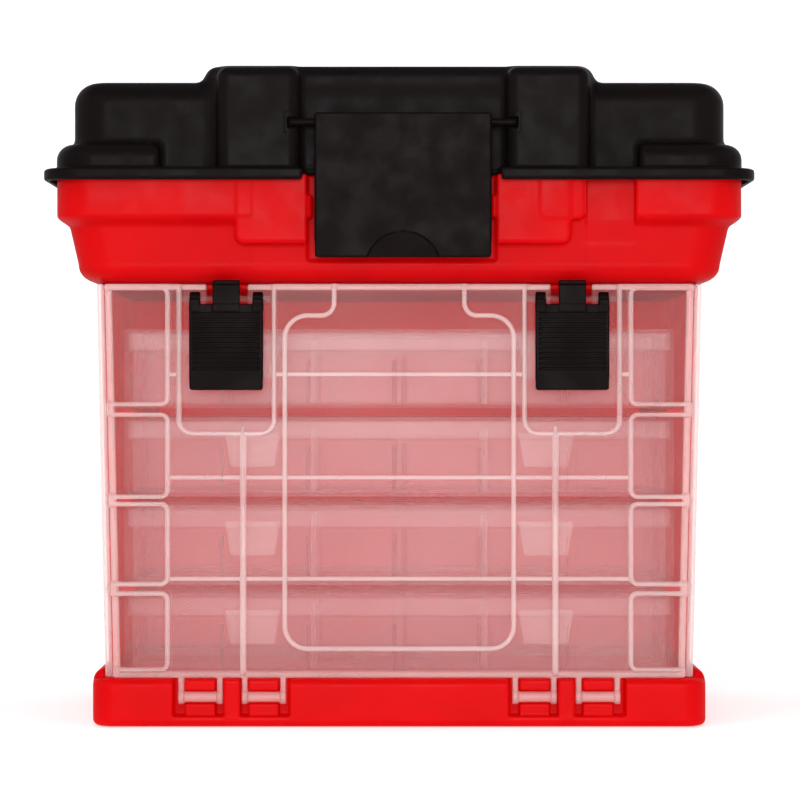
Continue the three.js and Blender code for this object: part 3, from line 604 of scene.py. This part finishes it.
# ---------------------------------------------------------------- lid
def lid_forms(x, y, z):
    """The stepped outside of the lid above its rim, left open below."""
    low = 150.0
    tier = prism(rect(x, y, -135.5, 135.5, -86, 80, 16), slab(z, low, TIER_TOP), 6)
    tier = cut(tier, rect(x, y, -94, 94, -FAR, FAR, 3), 3.0)
    shoulder = prism(rect(x, y, -129, 129, -78, 76, 14), slab(z, low, SHOULDER_TOP), 9)
    centre = prism(rect(x, y, -77, 77, -78, 64, 8), slab(z, low, LID_HIGH[2]), 5)
    u = np.abs(x - FRONT_CENTRE)
    pillar = prism(rect(u, y, PILLAR_INNER, PILLAR_OUTER, -86, -60, 5), slab(z, low, PILLAR_TOP), 4.5)
    return join(join(shoulder, centre, blend=4.0), tier, pillar, blend=3.0)


def lid(x, y, z):
    u = np.abs(x)
    v = np.abs(x - FRONT_CENTRE)
    rim_low, rim_high, lip_low = RIM_LOW, RIM_HIGH, LID_LOW[2]
    side = np.abs(u - LID_HINGE_X)
    forms = lid_forms(x, y, z)
    plan = rect(x, y, LID_LOW[0], LID_HIGH[0], LID_LOW[1], 84.5, 15)
    rim = prism(plan, slab(z, 214.4, rim_high), 1.2)
    channel = prism(plan + 2.2, slab(z, 200, rim_low), 0.8)
    rim = cut(rim, channel, 0.5)
    outer = join(meet(forms, rim_low - z), rim, blend=1.4)
    well_plan = rect(x, y, -66, 66, -52, 9, 5)
    well = prism(well_plan, slab(z, 243.4, 300), 1.5)
    body = cut(outer, forms + WALL, 0.5)
    well_walls = prism(well_plan - WALL, slab(z, 241, 300), 2)
    body = join(body, meet(meet(forms, well_walls), 241 - z), blend=0.8)
    body = cut(body, well, 1.6)
    gate = prism(rect(x - BAY_CENTRE, y, -38.5, 38.5, -FAR, -79.5, 1.5), slab(z, 0, rim_high + 0.2))
    body = cut(body, gate, 1.8)
    room = meet(slab(side, -19, 19), rect(y, z, 79.2, FAR, 0, rim_low))
    body = cut(body, room, 0.5)
    knuckle = join(
        rod(y, z, LID_Y, LID_Z, 4.0), rect(y, z, 82, 90, LID_Z, rim_high, 1.0),
        rect(y, z, 78, 90, rim_low + 0.3, rim_high, 0.8), blend=1.0,
    )
    body = join(body, prism(knuckle, slab(side, -10, 10), 0.6), blend=0.8)
    body = cut(body, meet(rod(y, z, LID_Y, LID_Z, 2.5), side - 12), 0.3)
    plug = meet(meet(rod(y, z, PLATE_Y + 2.7, PLATE_Z, 5), slab(v, 41, 46)), forms)
    body = join(body, plug, blend=0.5)
    body = cut(body, meet(rod(y, z, PLATE_Y, PLATE_Z, 2.0), v - 45), 0.3)
    boss = meet(meet(rect(y, z, -5, 5, 246, 257.5, 1), slab(u, 67, 72)), forms)
    body = join(body, boss, blend=0.5)
    body = cut(body, meet(rod(y, z, BAIL_Y, BAIL_Z, 2.5), slab(u, 61, 71.5)), 0.3)
    return meet(body, lip_low - z)


# ---------------------------------------------------------------- main latch
def main_latch(x, y, z):
    half, bottom, top, front, thick = 34.4, PLATE_LOW[2], 240.5, PLATE_LOW[1], 2.6
    x = x - FRONT_CENTRE
    u = np.abs(x)
    plate = prism(rect(x, z, -half, half, bottom, top, 1.2), slab(y, front, front + thick), 0.7)
    cheek = block((u, y, z), (half - 2.2, half), (front + 0.5, -83.5), (190, top - 0.5), 0.7)
    ear = prism(rect(y, z, -88.5, -82, 233, 240.3, 2.5), slab(u, half - 2.2, half), 0.5)
    hook = block((x, y, z), (-17, 17), (front + 1.5, front + thick + 2.4), (195.5, 198.5), 0.6)
    brace = block((x, y, z), (-17, 17), (front + 1.5, front + thick + 1.6), (209, 210.6), 0.5)
    body = join(plate, cheek, ear, hook, brace, blend=0.8)
    tilt = (z - bottom) * 0.12
    scoop = meet(rod(x, z, 0, bottom - 5, 15), y - (front + 1.5 - tilt))
    body = cut(body, scoop, 0.3)
    return cut(body, rod(y, z, PLATE_Y, PLATE_Z, 1.95), 0.2)


# ---------------------------------------------------------------- carry handle
def carry_handle(x, y, z):
    outer_half, front = GRIP_HIGH[0], GRIP_LOW[1]
    back = GRIP_HIGH[1]
    low, high = GRIP_LOW[2], GRIP_HIGH[2]
    outline = rect(x, y, -outer_half, outer_half, front, back, 7)
    inner = rect(x, y, -outer_half + 9, outer_half - 9, front + 13, back + 14, 5)
    body = prism(meet(outline, -inner, 1.0), slab(z, low, high), 3.2)
    waves = np.abs(((x + 3) % 6) - 3)
    finger = length(waves, z - low) - 1.1
    grip = slab(x, -42, 42)
    body = cut(body, meet(meet(finger, grip), y - (front + 13)), 0.5)
    recess = prism(rect(x, y, -40, 40, front + 3, front + 10, 3), slab(z, high - 0.8, high + 5), 0.3)
    body = cut(body, recess, 0.5)
    return cut(body, rod(y, z, BAIL_Y, BAIL_Z, 2.0), 0.3)


# ---------------------------------------------------------------- door
PAD_ROWS = ((23, 51.2), (56.7, 86.4), (91.1, 121.6), (127.5, 171.5))
PAD_INNER, PAD_OUTER, PAD_DEPTH = 92.1, 119.5, 3.0
PILLS = (54.0, 88.8, 124.6)
RIB_HEIGHTS = (57.9, 97.8, 138.4)
SPINE_X = 61.4
DOOR_FRONT, DOOR_FLANGE, DOOR_SHEET = -79.2, -70.4, 2.2
DOOR_BOTTOM, DOOR_TOP, DOOR_TURN = 19.0, 174.0, 3.4
POCKET_HALF, POCKET_LOW, POCKET_FLOOR = 17.8, 116, -73.5


def bottle(x, z):
    """The bottle-shaped panel on the front of the door."""
    body = rect(x, z, -45, 45, 30.5, 161.5, 9)
    neck = rect(x, z, -25.6, 25.6, 140, 200, 0)
    corner = rod(np.abs(x), z, 30.6, 166.5, 5.0)
    web = meet(rect(np.abs(x), z, 20, 30.6, 158, 166.5), -corner)
    return join(body, neck, web)


def pocket_outline(u, z):
    return rect(u, z, LATCH_X - POCKET_HALF, LATCH_X + POCKET_HALF, POCKET_LOW, FAR, 4.5)


def door_parts(x, y, z):
    """The whole door in one moulding: sheet, pads, pills, pockets, ribs, lugs and bars."""
    front, flange, thick = DOOR_FRONT, DOOR_FLANGE, DOOR_SHEET
    low, high, turn = DOOR_BOTTOM, DOOR_TOP, DOOR_TURN
    lip_back, panel_back = DOOR_HIGH[1], front + thick
    u = np.abs(x)
    w = u - rack_half(z)
    tub = prism(rect(w, z, -FAR, -turn, low, high, 1.2), slab(y, front, 0), 1.1)
    tub = meet(tub, y - flange)
    pads = backs = FAR
    for z0, z1 in PAD_ROWS:
        pad = rect(u, z, PAD_INNER, PAD_OUTER, z0, z1, 1.8)
        pads = join(pads, prism(pad, slab(y, -FAR, front + PAD_DEPTH), 0.6))
        back = rect(u, z, PAD_INNER - thick, FAR, z0 - thick, z1 + thick, 2)
        backs = join(backs, meet(back, y - (front + PAD_DEPTH + thick)))
    pills = FAR
    for height in PILLS:
        pill = rect(u, z, 90, 115.6, height - 2.9, height + 2.9, 2.8)
        pills = join(pills, prism(pill, slab(y, front, flange), 1.6))
    pocket = pocket_outline(u, z)
    pocket_cut = prism(pocket, slab(y, -FAR, POCKET_FLOOR), 0.8)
    pocket_back = prism(pocket - thick, slab(y, -FAR, POCKET_FLOOR + thick), 1.0)
    inner = rect(w, z, -FAR, -turn - thick, low + thick, high - thick, 1.0)
    cavity = meet(inner, panel_back - y, 0.6)
    cavity = cut(cut(cavity, backs, 0.5), pocket_back, 0.5)
    shell = cut(tub, pads, 0.7)
    shell = join(shell, pills, blend=0.6)
    shell = cut(cut(shell, pocket_cut, 0.7), cavity, 0.4)
    ring = prism(rect(w, z, -FAR, 0, low, high, 0.8), slab(y, flange - thick, flange), 0.5)
    ring = cut(ring, inner)
    ring = cut(ring, pocket_cut, 0.3)
    lips = prism(
        meet(slab(w, -thick, 0), slab(z, low, high), 0.4), slab(y, flange - thick, lip_back), 0.5
    )
    body = join(shell, ring, blend=0.6)
    body = join(body, lips, blend=0.5)
    line = np.abs(bottle(x, z)) - 0.95
    ridge = meet(prism(line, slab(y, front - 0.9, front + 1.5), 0.7), z - high)
    body = join(body, ridge, blend=0.7)
    rib_depth = slab(y, panel_back - 1, panel_back + 1)
    for height in RIB_HEIGHTS:
        rib = prism(rect(x, z, -89, 89, height - 0.8, height + 0.8, 0.5), rib_depth, 0.4)
        rib = cut(rib, pocket_cut)
        body = join(body, rib, blend=0.5)
        for knob_x in (-21.3, 22.5):
            knob_depth = slab(y, panel_back - 1, panel_back + 1.2)
            knob = prism(rod(x, z, knob_x, height, 1.9), knob_depth, 0.4)
            body = join(body, knob, blend=0.5)
    width = 0.55 + 0.6 * ramp(-z, -120, -60)
    spine = prism(
        meet(np.abs(u - SPINE_X) - width, slab(z, 20, 118)), slab(y, front - 0.7, panel_back + 1), 0.35
    )
    body = join(body, spine, blend=0.5)
    gate = meet(np.abs(length(x - 0.6, z - 88.4) - 1.7) - 0.4, slab(y, front - 0.5, front + 0.5))
    body = join(body, gate, blend=0.3)
    lug_side = join(
        rod(y, z, DOOR_Y, DOOR_Z, 2.9),
        rect(y, z, front + 0.4, DOOR_Y + 2.9, DOOR_Z, 22, 0.4),
    )
    for lug_x in LUG_X:
        lug = prism(lug_side, slab(u, lug_x - 1.15, lug_x + 1.15), 0.4)
        body = join(body, lug, blend=0.6)
    for nub_x in (45.4, 84.4):
        nub = length(length(u - nub_x, z - 23.6), y - front) - 1.7
        body = join(body, nub, blend=0.5)
    for a, b in (LUG_X[:2], LUG_X[2:]):
        body = join(body, meet(rod(y, z, DOOR_Y, DOOR_Z, 2.1), slab(u, a, b)), blend=0.4)
    window = prism(rect(u, z, LATCH_X - 8.2, LATCH_X + 8.2, 157, FAR, 1.0), slab(y, -FAR, 0))
    body = cut(body, window, 0.5)
    bar = meet(rod(y, z, BAR_Y, BAR_Z, 1.3), slab(u, LATCH_X - 18.8, LATCH_X + 18.8))
    return join(body, bar, blend=0.5)


def door_thick(x, y, z):
    """The stretches of the door that are thick to look through: its walls, ribs and lips.

    They lie just inside the door's own surface and carry a milkier plastic.
    """
    front, thick, turn = DOOR_FRONT, DOOR_SHEET, DOOR_TURN
    low, high = DOOR_BOTTOM, DOOR_TOP
    inside = 0.12
    u = np.abs(x)
    w = u - rack_half(z)
    behind_sheet = front + thick + 1
    walls = FAR
    for z0, z1 in PAD_ROWS:
        band = slab(rect(u, z, PAD_INNER, PAD_OUTER, z0, z1, 1.8), 0.1, 1.7)
        walls = join(walls, meet(band, w + turn))
    walls = join(walls, slab(pocket_outline(u, z), 0.1, 1.7))
    walls = meet(walls, slab(y, front, -74.4))
    lines = meet(np.abs(bottle(x, z)) - 0.95, slab(y, front - 0.9, front + 0.6))
    for height in RIB_HEIGHTS:
        rib = slab(z, height - 0.8, height + 0.8)
        lines = join(lines, meet(rib, slab(y, front + 0.9, behind_sheet)))
    spine = meet(np.abs(u - SPINE_X) - 1.2, slab(z, 18, 118))
    spine = meet(spine, slab(y, front - 0.7, behind_sheet))
    sides = meet(slab(w, -turn - thick, -turn), slab(z, low, high))
    sill = meet(slab(z, low, low + thick), w + turn)
    head = meet(slab(z, high - thick, high), w + turn)
    rims = meet(join(sides, sill, head), slab(y, front, DOOR_FLANGE))
    lips = -2.4 - w
    feet = z - 19.5
    whole = join(walls, lines, spine, rims, lips, feet)
    return meet(door_parts(x, y, z) + inside, whole)


# ---------------------------------------------------------------- side latches
def side_latch(x, y, z):
    half, bottom, top, front, back = 14.4, 132.2, 166.0, -81.2, -78.6
    u = np.abs(x)
    body = prism(rect(x, z, -half, half, bottom, top, 1.2), slab(y, front, back), 0.5)
    for k in range(12):
        height = 140.6 + k * 1.95
        groove = prism(
            rect(x, z, -half + 1.3, half - 1.3, height - 0.5, height + 0.5, 0.4),
            slab(y, -FAR, front + 0.45), 0.15,
        )
        body = cut(body, groove, 0.2)
    cheek = block((u, y, z), (half - 1.8, half), (front + 0.5, -75.2), (bottom + 4, top - 4), 0.5)
    ear = prism(rect(y, z, -80.1, -74.8, top - 3, 170.9, 2.5), slab(u, half - 4, half), 0.45)
    neck = block((u, y, z), (half - 4, half), (front, back), (top - 3, 168), 0.4)
    tab = block((x, y, z), (-5.3, 5.3), (front, -79.3), (top - 3, 173.6), 0.45)
    hook = block((x, y, z), (-5.3, 5.3), (-80.6, -77.4), (172.9, 175.4), 0.5)
    body = join(body, cheek, ear, neck, blend=0.6)
    body = join(body, tab, hook, blend=0.7)
    return cut(body, rod(y, z, BAR_Y, BAR_Z, 1.75), 0.2)


# ---------------------------------------------------------------- organiser boxes
BOX_HALF, BOX_FRONT, BOX_BACK = CAP_HIGH[0], CAP_LOW[1], CAP_HIGH[1]
BOX_HEIGHT = CAP_HIGH[2] - TRAY_LOW[2]
BOX_MIDDLE = (BOX_FRONT + BOX_BACK) / 2
BOX_WALL, BOX_GAP, BOX_SKIRT, BOX_CAP = 1.5, 0.3, 8.5, 1.5
SLOTS_FRONT = (-69.0, -34.5, 0.0, 34.5, 69.0)
SLOTS_BACK = (-69.0, 0.0, 69.0)
CLASP_X = 58.5


def tray(x, y, z):
    """A tray with its underside at z = 0."""
    step = BOX_WALL + BOX_GAP
    plan = rect(x, y, -BOX_HALF, BOX_HALF, BOX_FRONT, BOX_BACK, 4)
    lower = prism(plan, slab(z, 0, BOX_HEIGHT - BOX_SKIRT - BOX_GAP), 0.6)
    upper = prism(plan + step, slab(z, 1, BOX_HEIGHT - BOX_CAP - BOX_GAP), 0.4)
    body = join(lower, upper, blend=0.4)
    inset = step + BOX_WALL
    rows = (
        (BOX_FRONT + inset, BOX_MIDDLE - BOX_WALL / 2, SLOTS_FRONT),
        (BOX_MIDDLE + BOX_WALL / 2, BOX_BACK - inset, SLOTS_BACK),
    )
    for a, b, slots in rows:
        plan = rect(x, y, -BOX_HALF + inset, BOX_HALF - inset, a, b, 2)
        hollow = prism(plan, slab(z, BOX_WALL, 60), 1.2)
        body = cut(body, hollow, 0.4)
        for slot_x in slots:
            beside = slab(np.abs(x - slot_x), 1.5, 2.7)
            for y0, y1 in ((a - 0.5, a + 1.2), (b - 1.2, b + 0.5)):
                rib = prism(rect(y, z, y0, y1, BOX_WALL - 0.5, 19.5, 0.4), beside, 0.3)
                body = join(body, rib, blend=0.3)
    return body


def box_cap(x, y, z):
    """The organiser's lid, placed over a tray whose underside is at z = 0."""
    plan = rect(x, y, -BOX_HALF, BOX_HALF, BOX_FRONT, BOX_BACK, 4)
    body = prism(plan, slab(z, BOX_HEIGHT - BOX_SKIRT, BOX_HEIGHT), 0.7)
    hollow = prism(plan + BOX_WALL, slab(z, 0, BOX_HEIGHT - BOX_CAP), 0.5)
    body = cut(body, hollow, 0.2)
    panel = prism(plan + 7, slab(z, BOX_HEIGHT - 0.5, BOX_HEIGHT + 9), 0.2)
    return cut(body, panel, 0.4)


def clasp(x, y, z):
    """A clasp's plate, for the middle of the box front."""
    back = BOX_FRONT - BOX_GAP
    thick, low, high = 1.6, 11.9, 25.4
    half = 8.8 + 2.2 * (z - low) / (high - low)
    outline = meet(np.abs(x) - half, slab(z, low, high), 1.0)
    plate = prism(outline, slab(y, back - thick, back), 0.4)
    pull = block((x, y, z), (-7.8, 7.8), (back - thick - 0.9, back - 0.5), (low, low + 1.6), 0.4)
    body = join(plate, pull, blend=0.4)
    dish = prism(rect(x, z, -6.5, 6.5, 15.5, 22.8, 1.0), slab(y, -FAR, back - thick + 0.4), 0.1)
    return cut(body, dish, 0.2)


def divider(x, y, z, row):
    inset = BOX_WALL * 2 + BOX_GAP
    clearance = 0.35
    if row == "front":
        a, b = BOX_FRONT + inset, BOX_MIDDLE - BOX_WALL / 2
    else:
        a, b = BOX_MIDDLE + BOX_WALL / 2, BOX_BACK - inset
    return block((x, y, z), (-0.8, 0.8), (a + clearance, b - clearance), (1.8, 27), 0.4)


def moved_copy(mesh, name, x, z):
    made = mesh.copy()
    made.name = name
    points = np.zeros(len(made.vertices) * 3)
    made.vertices.foreach_get("co", points)
    points = points.reshape(-1, 3) + np.array([x * MM, 0, z * MM])
    made.vertices.foreach_set("co", points.ravel())
    made.update()
    return made


# ---------------------------------------------------------------- build
def grown(low, high, margin=0.6):
    return [v - margin for v in low], [v + margin for v in high]


def shell(name, field, node, cell, keep, body, material, slot):
    """One moulding that stands for one CAD node, sized by that node's box."""
    mesh = moulded(name, field, *grown(*node_box(node)), cell, keep)
    piece(name, mesh, body, material, [node])


def build_case():
    shell("base_shell", base, "base", 0.9, 0.2, "case", RED, "red_plastic")
    shell("rack_shell", rack, "rack_housing", 1.0, 0.1, "case", RED, "red_plastic")
    shell("bin_shell", upper_bin, "upper_bin", 0.9, 0.2, "case", RED, "red_plastic")


def build_lid():
    shell("lid_shell", lid, "lid", 0.9, 0.2, "lid", BLACK, "black_plastic")
    shell("main_latch_plate", main_latch, "main_latch", 0.5, 0.3,
          "main_latch", BLACK_SMOOTH, "black_plastic")
    shell("carry_handle_bail", carry_handle, "carry_handle", 0.7, 0.4,
          "handle", BLACK, "black_plastic")


def build_door():
    shell("door_shell", door_parts, "door", 0.7, 0.3, "door", DOOR_CLEAR, "clear_door_plastic")
    shell("door_ribs", door_thick, "door", 0.6, 0.25, "door", DOOR_THICK, "clear_door_plastic")
    low, high = node_box("side_latch_right")
    low[0] -= LATCH_X
    high[0] -= LATCH_X
    shape = moulded("side_latch", side_latch, *grown(low, high), 0.32, 0.4)
    for side, sign in (("left", -1), ("right", 1)):
        name = f"side_latch_{side}"
        made = moved_copy(shape, f"{name}_plate", sign * LATCH_X, 0)
        piece(f"{name}_plate", made, name, BLACK_SMOOTH, [name])


def build_boxes():
    floor = TRAY_LOW[2]
    half, front, back, height = BOX_HALF, BOX_FRONT, BOX_BACK, BOX_HEIGHT
    tray_mesh = moulded("tray", tray, [-half, front, 0], [half, back, height], 0.75, 0.12)
    cap_mesh = moulded("cap", box_cap, [-half, front, height - 9], [half, back, height], 0.75, 0.12)
    clasp_mesh = moulded("clasp", clasp, [-12, front - 3.5, 11], [12, front, 26], 0.3, 0.35)
    walls = {
        row: moulded("divider", lambda x, y, z, row=row: divider(x, y, z, row),
                     [-1, front, 1], [1, back, 28], 0.4, 0.1)
        for row in ("front", "back")
    }
    for number in BOX_NUMBERS:
        body = f"box_{number}"
        lift = floor + (number - 1) * PITCH
        for mesh, part in ((tray_mesh, "tray"), (cap_mesh, "lid")):
            node = f"{body}_{part}"
            made = moved_copy(mesh, f"{node}_shell", 0, lift)
            piece(f"{node}_shell", made, body, BOX_CLEAR, [node])
        places = (
            ("left", SLOTS_FRONT[1], "front"), ("right", SLOTS_FRONT[3], "front"), ("back", 0.0, "back"),
        )
        for which, slot_x, row in places:
            node = f"{body}_divider_{which}"
            made = moved_copy(walls[row], f"{node}_wall", slot_x, lift)
            piece(f"{node}_wall", made, body, BOX_CLEAR, [node])
        for side, sign in (("left", -1), ("right", 1)):
            node = f"{body}_clasp_{side}"
            made = moved_copy(clasp_mesh, f"{node}_plate", sign * CLASP_X, lift)
            piece(f"{node}_plate", made, node, CLASP_CLEAR, [node])


def pin_mesh(name, node, radius):
    """A round pin with chamfered ends, where a CAD pin lies."""
    low, high = node_box(node)
    y, z = (low[1] + high[1]) / 2, (low[2] + high[2]) / 2

    def field(px, py, pz):
        return prism(rod(py, pz, y, z, radius), slab(px, low[0], high[0]), 0.35)

    return moulded(name, field, *grown(low, high, 0.2), 0.35, 0.3)


def build_pins():
    for side in ("left", "right"):
        node = f"lid_hinge_pin_{side}"
        piece(f"{node}_wire", pin_mesh(node, node, 2.0), "case", STEEL, [node])
        node = f"handle_pin_{side}"
        piece(f"{node}_wire", pin_mesh(node, node, 1.6), "lid", STEEL, [node])
    node = "main_latch_pin"
    piece(f"{node}_rod", pin_mesh(node, node, 1.5), "lid", BLACK_SMOOTH, [node])


# ---------------------------------------------------------------- studio
def sweep():
    """A round studio sweep: a floor that curves up into a wall on every side."""
    floor_radius, bend, height, turns = 2.6, 1.4, 3.4, 96
    profile = [(0.0, 0.0), (0.6, 0.0), (floor_radius, 0.0)]
    for k in range(1, 17):
        angle = k / 16 * math.pi / 2
        profile.append((floor_radius + bend * math.sin(angle), bend * (1 - math.cos(angle))))
    profile.append((floor_radius + bend, height))
    points, faces = [], []
    for radius, level in profile[1:]:
        for k in range(turns):
            angle = 2 * math.pi * k / turns
            points.append((radius * math.cos(angle), radius * math.sin(angle), level))
    for ring in range(len(profile) - 2):
        for k in range(turns):
            a, b = ring * turns + k, ring * turns + (k + 1) % turns
            faces.append((a, a + turns, b + turns, b))
    faces.append(tuple(range(turns)))
    mesh = bpy.data.meshes.new("sweep")
    mesh.from_pydata(points, [], faces)
    mesh.polygons.foreach_set("use_smooth", np.ones(len(mesh.polygons), dtype=bool))
    return mesh


def area(name, place, aim, size, power):
    light = bpy.data.lights.new(name, "AREA")
    light.size, light.energy = size, power
    made = bpy.data.objects.new(name, light)
    made.location = place
    made.rotation_euler = (Vector(aim) - Vector(place)).to_track_quat("-Z", "Y").to_euler()
    bpy.context.collection.objects.link(made)


def studio():
    n = Nodes("studio_sweep")
    shade = n.mix(n.noise(1.5, 2), (0.90, 0.90, 0.90), (0.92, 0.92, 0.92))
    shader = n.add("ShaderNodeBsdfPrincipled", Base_Color=shade)
    shader.inputs["Roughness"].default_value = 0.8
    shader.inputs["Specular IOR Level"].default_value = 0.1
    shader.inputs["Emission Color"].default_value = (1, 1, 1, 1)
    shader.inputs["Emission Strength"].default_value = 0.40
    floor = bpy.data.objects.new("sweep", sweep())
    floor.location = (0, 0, -0.0004)
    bpy.context.collection.objects.link(floor)
    floor.data.materials.append(n.finish(shader.outputs["BSDF"]))
    world = bpy.data.worlds.new("studio")
    world.use_nodes = True
    world.node_tree.nodes["Background"].inputs["Color"].default_value = (1, 1, 1, 1)
    world.node_tree.nodes["Background"].inputs["Strength"].default_value = 0.18
    bpy.context.scene.world = world
    middle = (0, 0, CAD_HIGH[2] / 2)
    area("key", (-0.9, -1.3, 1.4), middle, 0.7, 4)
    area("front", (0.0, -1.9, 0.4), middle, 0.6, 26)
    area("fill", (1.3, -1.2, 0.9), middle, 1.0, 1.5)
    area("top", (0, 0.2, 1.7), middle, 1.0, 2.5)

    camera_data = bpy.data.cameras.new("camera")
    distance, frame_width = 1.2, 0.3129
    front = CAD_LOW[1] + 0.005
    camera_data.sensor_width = 36
    camera_data.lens = 36 * distance / frame_width
    camera = bpy.data.objects.new("camera", camera_data)
    camera.location = (0.0003, front - distance, 0.1283)
    camera.rotation_euler = (math.pi / 2, 0, 0)
    bpy.context.collection.objects.link(camera)
    bpy.context.scene.camera = camera
    bpy.context.scene.view_settings.view_transform = "Standard"
    bpy.context.scene.cycles.transparent_max_bounces = 32


build_case()
build_lid()
build_door()
build_boxes()
build_pins()
studio()
